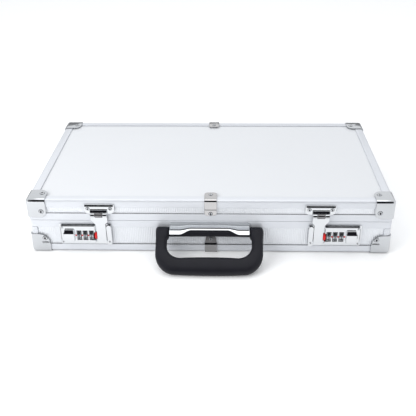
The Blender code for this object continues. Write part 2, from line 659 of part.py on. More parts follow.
def hinge_leaf(upper):
    """One leaf of a rear hinge: the base's has two knuckles, the lid's has one."""
    near, far = SHELL_Y + GAP, SHELL_Y + GAP + 1.2
    sign = 1 if upper else -1
    plate_near, plate_far = HINGE_Z + sign * 2.9, HINGE_Z + sign * 14.6
    low, high = sorted((plate_near, plate_far))
    start = HINGE_X - HINGE_WIDTH / 2
    outline = rounded_outline((start, low), (start + HINGE_WIDTH, high), 1.5)
    shape = prism(outline, "y", near, far)
    spans = [(10.1, 19.9)] if upper else [(0.0, 9.8), (20.2, 30.0)]
    parts = []
    for begin, finish_at in spans:
        tab_low, tab_high = sorted((HINGE_Z + sign * 1.5, HINGE_Z + sign * 4.9))
        parts.append(block((start + begin, near, tab_low), (start + finish_at, far, tab_high)))
        parts.append(knuckle((HINGE_Y, HINGE_Z), HINGE_KNUCKLE, HINGE_BORE, start + begin,
                             start + finish_at))
    middle = HINGE_Z + sign * 9.5
    rivets = [stud((HINGE_X + x, far, middle), (0, 1, 0), 2.0) for x in (-10, 0, 10)]
    return join(shape, *parts, *rivets)


def hinges(pivot, parent):
    base_leaf, lid_leaf = hinge_leaf(False), hinge_leaf(True)
    ends = (HINGE_X - HINGE_WIDTH / 2 + GAP, HINGE_X + HINGE_WIDTH / 2 - GAP)
    for side, name in ((-1, "left"), (1, "right")):
        finish(f"{name}_hinge_base_leaf", mirrored(base_leaf, x=side), "nickel_steel")
        finish(f"{name}_hinge_lid_leaf", mirrored(lid_leaf, x=side), "nickel_steel", pivot, parent)
        pin = mirrored(rod((HINGE_Y, HINGE_Z), HINGE_PIN, *ends, 12), x=side)
        finish(f"{name}_hinge_pin", pin, "nickel_steel")


# ---- carrying handle ------------------------------------------------------------------------------------

def handle_bracket():
    """The chrome plate on the front with the barrel that holds the handle's two pins."""
    outline = rounded_outline((-BRACKET_HALF, 22.2), (BRACKET_HALF, 37.8), 1.5)
    plate = prism(outline, "y", SHEET_FRONT, SHEET_BACK)
    ends, middle = (4.3, HANDLE_Z), (5.2, HANDLE_Z + 1.2)
    stations = ((-BRACKET_HALF, ends), (-32, ends), (-20, middle), (20, middle), (32, ends),
                (BRACKET_HALF, ends))
    barrel = skin([
        [(x, y, z) for y, z in circle((HANDLE_Y, height), radius, 16)]
        for x, (radius, height) in stations
    ])
    web = block((-BRACKET_HALF + 0.4, HANDLE_Y, HANDLE_Z - 3.6),
                (BRACKET_HALF - 0.4, SHEET_FRONT + 0.6, HANDLE_Z + 3.6))
    body = join(plate, web, barrel)
    bores = [
        rod((HANDLE_Y, HANDLE_Z), 1.6, *sorted((side * 29.0, side * (BRACKET_HALF + 1))))
        for side in (-1, 1)
    ]
    return cut(body, *bores)


def grip_section(centre, across, half_width, half_thick):
    """One section of the grip: a softened rectangle set across the line of the sweep."""
    points = []
    steps = 12
    for step in range(steps):
        angle = 2 * math.pi * (step + 0.5) / steps
        u = math.copysign(abs(math.cos(angle)) ** 0.75, math.cos(angle)) * half_width
        v = math.copysign(abs(math.sin(angle)) ** 0.75, math.sin(angle)) * half_thick
        points.append((centre[0] + across[0] * u, centre[1] + across[1] * u, v))
    return points


def handle_edges():
    """Matching points on the inner and outer edges of the handle's right half."""
    steps = 7
    edges = [tuple((x + half_width, 7.6) for x, _, half_width, _ in (INNER_BEND, OUTER_BEND))]
    for step in range(steps + 1):
        angle = math.pi / 2 * step / steps
        edges.append(tuple(
            (x + half_width * math.cos(angle), reach + half_height * math.sin(angle))
            for x, reach, half_width, half_height in (INNER_BEND, OUTER_BEND)
        ))
    (inner_x, inner), (outer_x, outer) = edges[-1]
    for part, share in ((0.5, 0.6), (0.0, 1.0)):
        rise = share * GRIP_CROWN
        edges.append(((inner_x * part, inner - rise), (outer_x * part, outer + rise)))
    return edges


def handle_sections():
    """Sections of the handle's right half: centre, direction across, half width, half thickness."""
    sections = []
    for reach, share, inset in ARM_ENDS:
        outer = ARM_OUTER - inset
        sections.append((((ARM_INNER + outer) / 2, reach), (1, 0), (outer - ARM_INNER) / 2,
                         HANDLE_HALF_THICK * share))
    for (x0, reach0), (x1, reach1) in handle_edges():
        line = Vector((x1 - x0, reach0 - reach1))
        centre = ((x0 + x1) / 2, -(reach0 + reach1) / 2)
        sections.append((centre, tuple(line.normalized()), line.length / 2, HANDLE_HALF_THICK))
    return sections


def handle_grip():
    """The grip, skinned along its U in its own plane and then swung down on its pivot."""
    right = handle_sections()
    left = [((-x, y), (-a, b), half, thick) for (x, y), (a, b), half, thick in right[-2::-1]]
    loops = [grip_section(*section) for section in right + left]
    shape = skin(untwisted(loops))
    bores = [
        rod((0, 0), 1.6, *sorted((side * (ARM_INNER - 2), side * (ARM_OUTER - 2))))
        for side in (-1, 1)
    ]
    shape = cut(shape, *bores)
    swing = Matrix.Translation((0, HANDLE_Y, HANDLE_Z)) @ Matrix.Rotation(HANDLE_DROP, 4, "X")
    bmesh.ops.transform(shape, matrix=swing, verts=shape.verts)
    return shape


def untwisted(loops):
    """Turn and reverse each loop so that its points follow those of the loop before."""
    result = [loops[0]]
    for loop in loops[1:]:
        before = [Vector(point) for point in result[-1]]
        candidates = []
        for order in (loop, loop[::-1]):
            for shift in range(len(order)):
                candidates.append(order[shift:] + order[:shift])
        result.append(min(candidates, key=lambda points: sum(
            (Vector(point) - other).length for point, other in zip(points, before))))
    return result


def handle():
    pivot = (0, HANDLE_Y, HANDLE_Z)
    finish("handle_grip", handle_grip(), "black_plastic", pivot)
    for side, name in ((-1, "left"), (1, "right")):
        ends = sorted((side * 29.5, side * (ARM_OUTER - 2.4)))
        pin = rod((HANDLE_Y, HANDLE_Z), 1.3, *ends, 12)
        finish(f"handle_pin_{name}", pin, "nickel_steel", pivot)


# ---- inside ---------------------------------------------------------------------------------------------

def tray_floor():
    return SHELL_LOW + EXTRUSION + PANEL + 2 * GAP


def chip_tray(side):
    """A moulded tray with three half-round channels for rows of chips."""
    inner, outer = CENTRE_HALF + GAP, SHELL_X - LINING
    half_depth = SHELL_Y - LINING
    shape = block((inner, -half_depth, tray_floor()), (outer, half_depth, TRAY_HIGH))
    middle = (inner + outer) / 2
    channels = [
        prism(circle((middle + offset * CHIP_PITCH, CHIP_Z), CHIP_CHANNEL, 24), "y",
              -CHIP_LENGTH / 2, CHIP_LENGTH / 2)
        for offset in (-1, 0, 1)
    ]
    lock_room = block((HOUSING_INNER + 0.8, -half_depth - 1, 15.2),
                      (HOUSING_OUTER + 0.1, DIAL_Y + DIAL_RADIUS + 1.6, TRAY_HIGH + 1))
    return mirrored(cut(shape, *channels, lock_room), x=side)


def centre_tray():
    """The middle tray: a well for each deck of cards and one between them."""
    half_depth = SHELL_Y - LINING
    shape = block((-CENTRE_HALF, -half_depth, tray_floor()), (CENTRE_HALF, half_depth, TRAY_HIGH))
    card_y = half_depth - 3.0 - CARD_WELL[1] / 2
    wells = []
    for y, size in ((-card_y, CARD_WELL), (0, MIDDLE_WELL), (card_y, CARD_WELL)):
        outline = rounded_outline((-size[0] / 2, y - size[1] / 2), (size[0] / 2, y + size[1] / 2), 3)
        wells.append(prism(outline, "z", tray_floor() + 2, TRAY_HIGH + 2))
    return cut(shape, *wells)


def inside():
    finish("left_chip_tray", chip_tray(-1), "tray_lining")
    finish("right_chip_tray", chip_tray(1), "tray_lining")
    finish("centre_tray", centre_tray(), "tray_lining")


# ---- assembly -------------------------------------------------------------------------------------------

def clear_scene():
    for old in list(bpy.data.objects):
        bpy.data.objects.remove(old, do_unlink=True)


def centre_overall():
    """Move the case along y, so that the origin is under the middle of its overall size."""
    bpy.context.view_layer.update()
    ys = []
    for item in bpy.context.scene.objects:
        if item.type == "MESH":
            ys.extend((item.matrix_world @ vert.co).y for vert in item.data.vertices)
    middle = (min(ys) + max(ys)) / 2
    for item in bpy.context.scene.objects:
        if not item.parent:
            item.location.y -= middle
    bpy.context.view_layer.update()
    print(f"case moved along y by {-middle / MM:.4f} mm")


def build_case():
    clear_scene()
    pivot = (0, HINGE_Y, HINGE_Z)
    lid = pivot_empty("lid_pivot", pivot)
    base_shell()
    lid_shell(pivot, lid)
    corner_angles()
    protectors(pivot, lid)
    clips(pivot, lid)
    lock(-1, "left", pivot, lid)
    lock(1, "right", pivot, lid)
    hinges(pivot, lid)
    finish("handle_bracket", handle_bracket(), "chrome")
    handle()
    inside()
    centre_overall()


build_case()
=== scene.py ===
"""Looks for the poker chip case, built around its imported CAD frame.

Details are given in millimetres, with x from the middle of the width, y from the middle of
the body's depth (the front is -y) and z from the table. TO_FRAME turns them into the frame's
metres. Pieces that come in pairs are modelled on the right or at the front and mirrored.
"""

from math import copysign, cos, pi, radians, sin, sqrt

import bmesh
import bpy
from mathutils import Matrix, Vector


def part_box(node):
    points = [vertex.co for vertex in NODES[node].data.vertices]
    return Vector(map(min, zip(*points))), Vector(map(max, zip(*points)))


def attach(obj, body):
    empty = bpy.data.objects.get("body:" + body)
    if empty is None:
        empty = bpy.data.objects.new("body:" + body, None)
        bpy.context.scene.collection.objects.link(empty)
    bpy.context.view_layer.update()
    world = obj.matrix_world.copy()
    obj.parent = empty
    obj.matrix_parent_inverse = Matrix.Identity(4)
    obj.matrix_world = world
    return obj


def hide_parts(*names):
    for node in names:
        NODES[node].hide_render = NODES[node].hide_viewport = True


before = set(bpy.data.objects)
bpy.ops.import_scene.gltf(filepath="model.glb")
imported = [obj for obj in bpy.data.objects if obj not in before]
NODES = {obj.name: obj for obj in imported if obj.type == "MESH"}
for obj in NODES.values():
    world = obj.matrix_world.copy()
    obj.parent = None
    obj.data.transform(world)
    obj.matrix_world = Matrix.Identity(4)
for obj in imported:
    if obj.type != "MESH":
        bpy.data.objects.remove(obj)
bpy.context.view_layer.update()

MM = 0.001

# ---- places read off the CAD frame ----
HEAD = 0.6  # height of the CAD model's plain rivet heads


def extent(node, corner, axis):
    """One coordinate of a node's box, in millimetres: corner 0 is the lowest, 1 the highest."""
    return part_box(node)[corner][axis] / MM


FRAME_FRONT = extent("base_protector_front_right", 0, 1) + HEAD
FRAME_REAR = extent("base_protector_rear_right", 1, 1) - HEAD
MIDDLE_Y = (FRAME_FRONT + FRAME_REAR) / 2
HALF_DEPTH = (FRAME_REAR - FRAME_FRONT) / 2
HALF_WIDTH = extent("base_protector_front_right", 1, 0) - HEAD
HEIGHT = extent("lid_protector_front_right", 1, 2) - HEAD
FRONT = -HALF_DEPTH
PROFILE_X = extent("base_edge_frame", 1, 0)
PROFILE_Y = extent("base_edge_frame", 1, 1) - MIDDLE_Y
WALL_X = extent("base_side_wall", 1, 0)
WALL_Y = extent("base_side_wall", 1, 1) - MIDDLE_Y
TO_FRAME = Matrix.Scale(MM, 4) @ Matrix.Translation((0, MIDDLE_Y, 0))

PLATE = 1.2  # thickness of the plates riveted to the profiles
SHEET_FRONT = -PROFILE_Y - 0.3 - PLATE  # front face of those on the front
HOUSING_FRONT = FRONT - 2.8  # front of the locks' raised housings
DIAL_Y, DIAL_Z = FRONT + 1.4, 23.2
DIAL_CENTRES = (126.2, 132.8, 139.4)
CLIP_X = 1.2  # the clips sit a little off the middle
HANDLE_Y, HANDLE_Z = FRONT - 5.8, 28.7
HANDLE_DROP = radians(32.3)  # below the horizontal


# ---- mesh tools ----

def arc(centre, radius, start, end, steps):
    """Points along an arc, both ends included; angles in degrees."""
    points = []
    for step in range(steps + 1):
        angle = radians(start + (end - start) * step / steps)
        points.append((centre[0] + radius * cos(angle), centre[1] + radius * sin(angle)))
    return points


def skin(loops, closed=False):
    """Join equal-length loops of points by quads, and cap the two ends unless closed."""
    shape = bmesh.new()
    rows = [[shape.verts.new(point) for point in loop] for loop in loops]
    pairs = list(zip(rows, rows[1:]))
    if closed:
        pairs.append((rows[-1], rows[0]))
    for lower, upper in pairs:
        for index in range(len(lower)):
            after = (index + 1) % len(lower)
            shape.faces.new((lower[index], lower[after], upper[after], upper[index]))
    if not closed:
        shape.faces.new(rows[0][::-1])
        shape.faces.new(rows[-1])
    bmesh.ops.recalc_face_normals(shape, faces=shape.faces)
    return shape


def prism(outline, axis, start, end):
    """A closed outline pushed along an axis; for x it holds (y, z), for y (x, z), for z (x, y)."""
    spot = {
        "x": lambda p, along: (along, p[0], p[1]),
        "y": lambda p, along: (p[0], along, p[1]),
        "z": lambda p, along: (p[0], p[1], along),
    }[axis]
    return skin([[spot(point, along) for point in outline] for along in (start, end)])


def block(low, high):
    outline = [(low[0], low[1]), (high[0], low[1]), (high[0], high[1]), (low[0], high[1])]
    return prism(outline, "z", low[2], high[2])


def lathe(profile, steps=24):
    """A profile of (radius, height) turned about z; the height rises from the first point."""
    loops = []
    for step in range(steps):
        angle = 2 * pi * step / steps
        loops.append([(r * cos(angle), r * sin(angle), h) for r, h in profile])
    return skin(loops, closed=True)


def moved(shape, matrix):
    bmesh.ops.transform(shape, matrix=matrix, verts=shape.verts)
    return shape


def turned(shape, normal, centre):
    """Turn a shape made about +z to face a direction, and put its origin at centre."""
    turn = Vector((0, 0, 1)).rotation_difference(Vector(normal)).to_matrix().to_4x4()
    return moved(shape, Matrix.Translation(centre) @ turn)


def mirrored(shape, x=1, y=1):
    copy = shape.copy()
    bmesh.ops.scale(copy, vec=(x, y, 1), verts=copy.verts)
    if x * y < 0:
        bmesh.ops.reverse_faces(copy, faces=copy.faces)
    return copy


def merged(shapes):
    """One mesh from several shapes, which are freed."""
    whole = bmesh.new()
    scratch = bpy.data.meshes.new("scratch")
    for shape in shapes:
        shape.to_mesh(scratch)
        whole.from_mesh(scratch)
        shape.free()
    bpy.data.meshes.remove(scratch)
    return whole


def new_object(name, data):
    made = bpy.data.objects.new(name, data)
    bpy.context.scene.collection.objects.link(made)
    return made


def add_piece(name, shape, material, body, smooth=35, bevel=0.0):
    """Make a shape in millimetres into a piece that rides on a body; the shape is freed."""
    mesh = bpy.data.meshes.new(name)
    moved(shape, TO_FRAME).to_mesh(mesh)
    shape.free()
    mesh.materials.append(material)
    mesh.shade_smooth()
    if not bevel:
        mesh.set_sharp_from_angle(angle=radians(smooth))
    piece = new_object(name, mesh)
    if bevel:
        round_edges(piece, bevel, smooth)
    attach(piece, body)
    return piece


LEFT_RIGHT = ((-1, 1, "left"), (1, 1, "right"))
FRONT_REAR = ((1, 1, "front"), (1, -1, "rear"))


def add_pair(name, shape, material, body, smooth=35, bevel=0.0, node="", sides=LEFT_RIGHT):
    """Add a shape and its mirror image, each in place of a node if one is named.

    The asterisk in a name stands for the side.
    """
    for x, y, side in sides:
        piece = add_piece(name.replace("*", side), mirrored(shape, x, y), material,
                          body.replace("*", side), smooth, bevel)
        if node:
            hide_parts(node.replace("*", side))
    shape.free()


def round_edges(piece, width, angle):
    bevel = piece.modifiers.new("round edges", "BEVEL")
    bevel.width = width * MM
    bevel.segments = 3
    bevel.limit_method = "ANGLE"
    bevel.angle_limit = radians(angle)
    bevel.harden_normals = True


def dress(node, material, bevel, angle=32):
    """Give a CAD node its finish, and round its edges with modifiers.

    A bevel of 0 leaves the node flat-shaded; None leaves its mesh as it came.
    """
    piece = NODES[node]
    mesh = piece.data
    mesh.materials.clear()
    mesh.materials.append(material)
    if bevel is None:
        return
    if "custom_normal" in mesh.attributes:
        mesh.attributes.remove(mesh.attributes["custom_normal"])
    weld = piece.modifiers.new("weld", "WELD")
    weld.merge_threshold = 1e-6
    if not bevel:
        mesh.shade_flat()
        return
    mesh.shade_smooth()
    planar = piece.modifiers.new("flat faces", "DECIMATE")
    planar.decimate_type = "DISSOLVE"
    planar.angle_limit = radians(0.5)
    round_edges(piece, bevel, angle)


# ---- materials ----

class Graph:
    """A node tree, built up from small blocks."""

    def __init__(self, tree):
        self.tree = tree

    def feed(self, socket, value):
        """Link a socket to another one, or set it; a colour gets its alpha here."""
        if isinstance(value, bpy.types.NodeSocket):
            self.tree.links.new(value, socket)
        elif socket.type == "RGBA":
            socket.default_value = (*value, 1)
        else:
            socket.default_value = value

    def node(self, kind, settings=None, **inputs):
        made = self.tree.nodes.new(kind)
        for key, value in (settings or {}).items():
            setattr(made, key, value)
        for key, value in inputs.items():
            self.feed(made.inputs[key.replace("_", " ")], value)
        return made

    def maths(self, operation, *values):
        made = self.node("ShaderNodeMath", {"operation": operation})
        for socket, value in zip(made.inputs, values):
            self.feed(socket, value)
        return made.outputs[0]

    def times(self, a, b):
        return self.maths("MULTIPLY", a, b)

    def mix(self, share, first, second):
        """A colour between two others."""
        made = self.node("ShaderNodeMix", {"data_type": "RGBA"})
        for index, value in ((0, share), (6, first), (7, second)):
            self.feed(made.inputs[index], value)
        return made.outputs[2]


class Finish(Graph):
    """A material, with blocks for its surface."""

    def __init__(self, name, roughness=0.5, metallic=0.0):
        self.material = bpy.data.materials.new(name)
        self.material.use_nodes = True
        super().__init__(self.material.node_tree)
        self.shader = self.tree.nodes["Principled BSDF"]
        self.set(Metallic=metallic, Roughness=roughness)
        self.place = self.node("ShaderNodeTexCoord").outputs["Object"]

    def noise(self, size, detail=3.0, stretch=(1, 1, 1), rough=0.55):
        """Noise with features about size millimetres across; stretch lengthens them."""
        scale = [1 / (size * MM * factor) for factor in stretch]
        mapping = self.node("ShaderNodeMapping", Vector=self.place, Scale=scale)
        made = self.node("ShaderNodeTexNoise", Vector=mapping.outputs[0], Scale=1.0,
                         Detail=detail, Roughness=rough)
        return made.outputs["Fac"]

    def between(self, value, low, high):
        """Map 0..1 to low..high."""
        return self.node("ShaderNodeMapRange", Value=value, To_Min=low, To_Max=high).outputs[0]

    def edges(self, radius=0.5, low=0.02, high=0.25):
        """1 along sharp edges and 0 on flat faces, from a rounded normal."""
        rounded = self.node("ShaderNodeBevel", {"samples": 4}, Radius=radius * MM).outputs[0]
        plain = self.node("ShaderNodeNewGeometry").outputs["Normal"]
        dot = self.node("ShaderNodeVectorMath", {"operation": "DOT_PRODUCT"})
        for socket, normal in zip(dot.inputs, (rounded, plain)):
            self.feed(socket, normal)
        return self.node("ShaderNodeMapRange", Value=dot.outputs["Value"], From_Min=1 - low,
                         From_Max=1 - high).outputs[0]

    def bump(self, height, distance, strength=1.0):
        """Raise the surface by distance millimetres where height is 1; calls stack."""
        made = self.node("ShaderNodeBump", Height=height, Distance=distance * MM, Strength=strength)
        socket = self.shader.inputs["Normal"]
        if socket.links:
            self.feed(made.inputs["Normal"], socket.links[0].from_socket)
        self.feed(socket, made.outputs[0])

    def set(self, **inputs):
        for key, value in inputs.items():
            self.feed(self.shader.inputs[key.replace("_", " ")], value)


def shaded(colour, factor):
    return tuple(channel * factor for channel in colour)


def metal(name, colour, roughness, grain=(1, 1, 1), grain_size=0.25, grain_depth=0.004,
          blotch=0.08, spread=0.08, edge_wear_and_shade=0.5, rim=1.12, metallic=1.0, foot=1.0):
    """Metal with grain, faint blotches, uneven polish and its edges in another shade.

    rim and foot are shades of the colour, on edges and just above the table: a rim above 1 lightens the
    edges where rubbed, a rim below 1 darkens them as painted dark reflection, and a foot below 1 is
    painted contact shadow.
    """
    finish = Finish(name, roughness, metallic)
    cloud = finish.noise(38, 3)
    fine = finish.noise(grain_size, 2, grain)
    smear = finish.noise(9, 4)
    tone = finish.mix(cloud, shaded(colour, 1 - blotch), colour)
    tone = finish.mix(finish.between(fine, 0, 0.35), tone, shaded(colour, 0.86))
    # edges in the rim shade: lighter where rubbed when rim is above 1, painted dark reflection when it is
    # below 1
    tone = finish.mix(finish.times(finish.edges(), edge_wear_and_shade), tone, shaded(colour, rim))
    # painted contact shadow: from 2.2 mm down to 1 mm above the table the colour darkens to the foot shade
    height = finish.node("ShaderNodeSeparateXYZ", Vector=finish.place).outputs["Z"]
    low = finish.node("ShaderNodeMapRange", Value=height, From_Min=1.0 * MM, From_Max=2.2 * MM,
                      To_Min=1.0, To_Max=0.0).outputs[0]
    if foot < 1:
        tone = finish.mix(low, tone, shaded(colour, foot))
    polish = finish.between(smear, roughness - spread, roughness + spread)
    finish.set(Base_Color=tone, Roughness=polish)
    finish.bump(fine, grain_depth)
    finish.bump(cloud, 0.05, 0.25)
    return finish.material


def pale_panel():
    finish = Finish("pale_panel")
    colour = (0.712, 0.727, 0.752)
    cloud = finish.noise(60, 3)
    pores = finish.noise(0.35, 2)
    tone = finish.mix(cloud, shaded(colour, 0.975), colour)
    tone = finish.mix(finish.between(pores, 0.0, 0.25), tone, shaded(colour, 0.94))
    finish.set(Base_Color=tone, Roughness=finish.between(finish.noise(14, 3), 0.38, 0.52),
               Specular_IOR_Level=0.45)
    finish.bump(pores, 0.012, 0.6)
    finish.bump(finish.noise(45, 2), 0.12, 0.15)
    return finish.material


def ribbed_panel():
    finish = Finish("ribbed_panel", 0.40, 0.55)
    colour = (0.80, 0.82, 0.855)
    cloud = finish.noise(30, 3)
    scratch = finish.noise(0.3, 2, (1, 1, 14))
    tone = finish.mix(cloud, shaded(colour, 0.93), colour)
    tone = finish.mix(finish.between(scratch, 0, 0.3), tone, shaded(colour, 0.88))
    finish.set(Base_Color=tone, Roughness=finish.between(finish.noise(6, 3), 0.34, 0.48))
    finish.bump(scratch, 0.006)
    return finish.material


def black_plastic():
    finish = Finish("black_plastic", 0.45)
    colour = (0.009, 0.009, 0.013)
    grain = finish.noise(0.55, 3, rough=0.7)
    cloud = finish.noise(16, 3)
    tone = finish.mix(cloud, shaded(colour, 0.75), shaded(colour, 1.35))
    tone = finish.mix(finish.times(finish.edges(1.2, 0.02, 0.3), 0.4), tone, shaded(colour, 2.2))
    finish.set(Base_Color=tone, Roughness=finish.between(grain, 0.38, 0.60), Specular_IOR_Level=0.20)
    finish.bump(grain, 0.035)
    finish.bump(finish.noise(2.2, 2), 0.03, 0.5)
    return finish.material


def painted(name, colour, roughness, depth=0.008):
    """Moulded or painted plastic with a little unevenness in colour, gloss and surface."""
    finish = Finish(name, roughness)
    cloud = finish.noise(4, 3)
    grain = finish.noise(0.3, 2)
    tone = finish.mix(cloud, shaded(colour, 0.85), colour)
    rubbed = tuple(min(1, channel * 1.3 + 0.02) for channel in colour)
    tone = finish.mix(finish.times(finish.edges(0.3), 0.4), tone, rubbed)
    finish.set(Base_Color=tone, Roughness=finish.between(grain, roughness - 0.06, roughness + 0.08))
    finish.bump(grain, depth)
    return finish.material


def flocked(name, colour):
    """Short velvet flock, as on moulded trays."""
    finish = Finish(name, 0.95)
    nap = finish.noise(0.22, 3, rough=0.8)
    cloud = finish.noise(22, 4)
    tone = finish.mix(nap, shaded(colour, 0.5), shaded(colour, 1.7))
    tone = finish.mix(finish.between(cloud, 0, 0.5), tone, shaded(colour, 1.9))
    # lighter rims: a painted highlight along the edges of the flock
    tone = finish.mix(finish.times(finish.edges(0.9, 0.02, 0.3), 0.6), tone, shaded(colour, 4.0))
    finish.set(Base_Color=tone, Roughness=finish.between(cloud, 0.82, 1.0), Sheen_Weight=0.55,
               Sheen_Roughness=0.35, Specular_IOR_Level=0.15)
    finish.bump(nap, 0.09)
    finish.bump(cloud, 0.25, 0.3)
    return finish.material


THREADS = 1 / (0.9 * MM) * 0.05 * 6.28  # the wave texture's scale for threads 0.9 mm apart


def woven(name, colour):
    """Plain-woven lining cloth: crossing threads with a soft sheen."""
    finish = Finish(name, 0.85)
    waves = []
    for direction in ("X", "Y"):
        wave = finish.node("ShaderNodeTexWave", {"bands_direction": direction}, Vector=finish.place,
                           Scale=THREADS, Distortion=0.6, Detail=1.0, Detail_Scale=4.0)
        waves.append(wave.outputs["Fac"])
    weave = finish.times(*waves)
    cloud = finish.noise(18, 3)
    tone = finish.mix(weave, shaded(colour, 0.55), shaded(colour, 1.6))
    tone = finish.mix(finish.between(cloud, 0, 0.4), tone, shaded(colour, 1.5))
    finish.set(Base_Color=tone, Roughness=finish.between(cloud, 0.75, 0.95), Sheen_Weight=0.4,
               Sheen_Roughness=0.4, Specular_IOR_Level=0.2)
    finish.bump(weave, 0.12)
    finish.bump(cloud, 0.3, 0.3)
    return finish.material


def make_materials():
    anodised = {"colour": (0.73, 0.75, 0.79), "roughness": 0.46, "grain": (40, 1, 1), "metallic": 0.4}
    # dark_edged gives a strong edge mix; with rim below 1 on the nickel, plated and chrome finishes it
    # darkens their edges as painted dark reflection
    dark_edged = {"grain_size": 0.6, "spread": 0.04, "edge_wear_and_shade": 0.8}
    plated = {"colour": (0.62, 0.635, 0.655), "roughness": 0.12, "rim": 0.35, **dark_edged}
    return {
        "edge": metal("anodised_edges", **anodised),
        # foot=0.4: painted contact shadow along the base profile just above the table
        "edge_low": metal("anodised_base_edge", foot=0.4, **anodised),
        "pale": pale_panel(),
        "ribbed": ribbed_panel(),
        "nickel": metal("nickel_steel", (0.56, 0.55, 0.55), 0.15, rim=0.4, **dark_edged),
        "nickel_low": metal("nickel_in_shade", (0.36, 0.355, 0.36), 0.2, rim=0.4, **dark_edged),
        "plated": metal("plated_steel", **plated),
        # foot=0.5: painted contact shadow on the base protectors just above the table
        "plated_low": metal("plated_base_steel", foot=0.5, **plated),
        "chrome": metal("chrome", (0.74, 0.755, 0.775), 0.07, grain_size=1.2, grain_depth=0.002,
                        blotch=0.04, spread=0.03, edge_wear_and_shade=0.6, rim=0.45),
        "shaded_steel": metal("shaded_steel", (0.24, 0.235, 0.24), 0.20, grain_size=0.5, spread=0.05),
        "satin": metal("satin_plate", (0.60, 0.625, 0.655), 0.34, (30, 1, 1), metallic=0.7, spread=0.05),
        "dial": metal("dial_metal", (0.40, 0.41, 0.43), 0.24, grain_size=0.4, spread=0.04),
        "black": black_plastic(),
        "red": painted("red_plastic", (0.70, 0.012, 0.010), 0.32),
        # ink: dark paint for the printed digits and for marks of painted shade and painted dark reflection
        "ink": painted("dark_print_and_shade", (0.012, 0.012, 0.014), 0.55),
        "flock": flocked("tray_lining", (0.012, 0.012, 0.014)),
        "cloth": woven("lid_lining", (0.020, 0.020, 0.024)),
    }


def floor_material():
    finish = Finish("studio_floor", 0.6)
    finish.set(Base_Color=finish.mix(finish.noise(400, 2), (0.93, 0.935, 0.94), (0.95, 0.953, 0.957)),
               Specular_IOR_Level=0.25, Emission_Color=(1.0, 1.0, 1.0), Emission_Strength=0.10)
    finish.bump(finish.noise(3, 2), 0.02, 0.3)
    return finish.material


# ---- the CAD nodes' finishes ----

def dress_nodes(looks):
    """Finish each node by the first entry whose text is in its name: (text, look, bevel)."""
    plans = (
        ("lid_top_panel", "pale", 0), ("base_bottom_panel", "pale", 0), ("_side_wall", "ribbed", 0),
        ("base_edge_frame", "edge_low", 0.35), ("_edge_frame", "edge", 0.35),
        ("_closure_frame", "edge", 0.2), ("corner_angle", "edge", 0.2),
        ("base_protector", "plated_low", 0.25), ("protector", "plated", 0.25),
        ("_clip", "nickel", 0.25), ("hinge", "nickel", 0.25), ("handle_pin", "nickel", 0.1),
        ("hasp_pin", "nickel", 0.1), ("dial_axle", "nickel", 0), ("lock_cover", "nickel", 0.2),
        ("lock_body", "chrome", 0.35), ("slide_button", "chrome", 0.4),
        ("hasp_keeper", "chrome", 0.4), ("_hasp", "chrome", 0.3), ("handle_bracket", "chrome", 0.4),
        ("dial_", "dial", 0.3), ("reset_tab", "red", 0.35), ("handle_grip", "black", 0.5),
        ("tray", "flock", None), ("lid_foam_pad", "cloth", 0.5),
    )
    for node in NODES:
        for part, look, bevel in plans:
            if part in node:
                dress(node, looks[look], bevel)
                break


# ---- ribbed wall faces ----

RIB_PITCH, RIB_HEIGHT, RIB_SAMPLES = 1.9, 0.27, 6
BASE_HALF_X, BASE_HALF_Y = 184.6, 97.6  # half lengths of the ribbed stretches
LID_HALF_X, LID_HALF_Y = 187.5, 100.5
LOCK_INNER, LOCK_OUTER = 105.0, 160.4  # the locks and the clips interrupt the base's
CLIP_HALF = 6.8


def ribs(along, face, outward, start, end, low, high):
    """A closed strip with upright ribs, over part of one wall."""
    count = max(1, round((end - start) / RIB_PITCH)) * RIB_SAMPLES
    loops = []
    for index in range(count + 1):
        s = start + (end - start) * index / count
        phase = 2 * pi * index / RIB_SAMPLES
        rise = 0.05 + RIB_HEIGHT * (0.5 - 0.5 * cos(phase)) ** 0.8
        loop = []
        for depth, z in ((0.02, low), (rise, low), (rise, high), (0.02, high)):
            level = face + outward * depth
            loop.append((s, level, z) if along == "x" else (level, s, z))
        loops.append(loop)
    return skin(loops)


def seam_dashes(level, x_half, y_half):
    """Painted shadow on a profile's ledge: one dark dash in each valley of the ribs."""
    dashes = []
    for outward in (-1, 1):
        for along, half, wall, edge in (("x", x_half, WALL_Y, PROFILE_Y),
                                        ("y", y_half, WALL_X, PROFILE_X)):
            count = round(2 * half / RIB_PITCH)
            near, far = sorted((outward * (wall - 0.2), outward * (edge - 0.12)))
            for index in range(count):
                start = -half + RIB_PITCH * (index + 0.18)
                low, high = (start, near), (start + 0.72 * RIB_PITCH, far)
                if along == "y":
                    low, high = low[::-1], high[::-1]
                dashes.append(block((*low, level - 0.02), (*high, level + 0.04)))
    return merged(dashes)


def wall_strips(x_spans, y_half, low, high):
    """Ribs for the front and rear walls over the given spans of x, and for both side walls."""
    strips = []
    for outward in (-1, 1):
        for start, end in x_spans[outward]:
            strips.append(ribs("x", outward * WALL_Y, outward, start, end, low, high))
        strips.append(ribs("y", outward * WALL_X, outward, -y_half, y_half, low, high))
    return merged(strips)


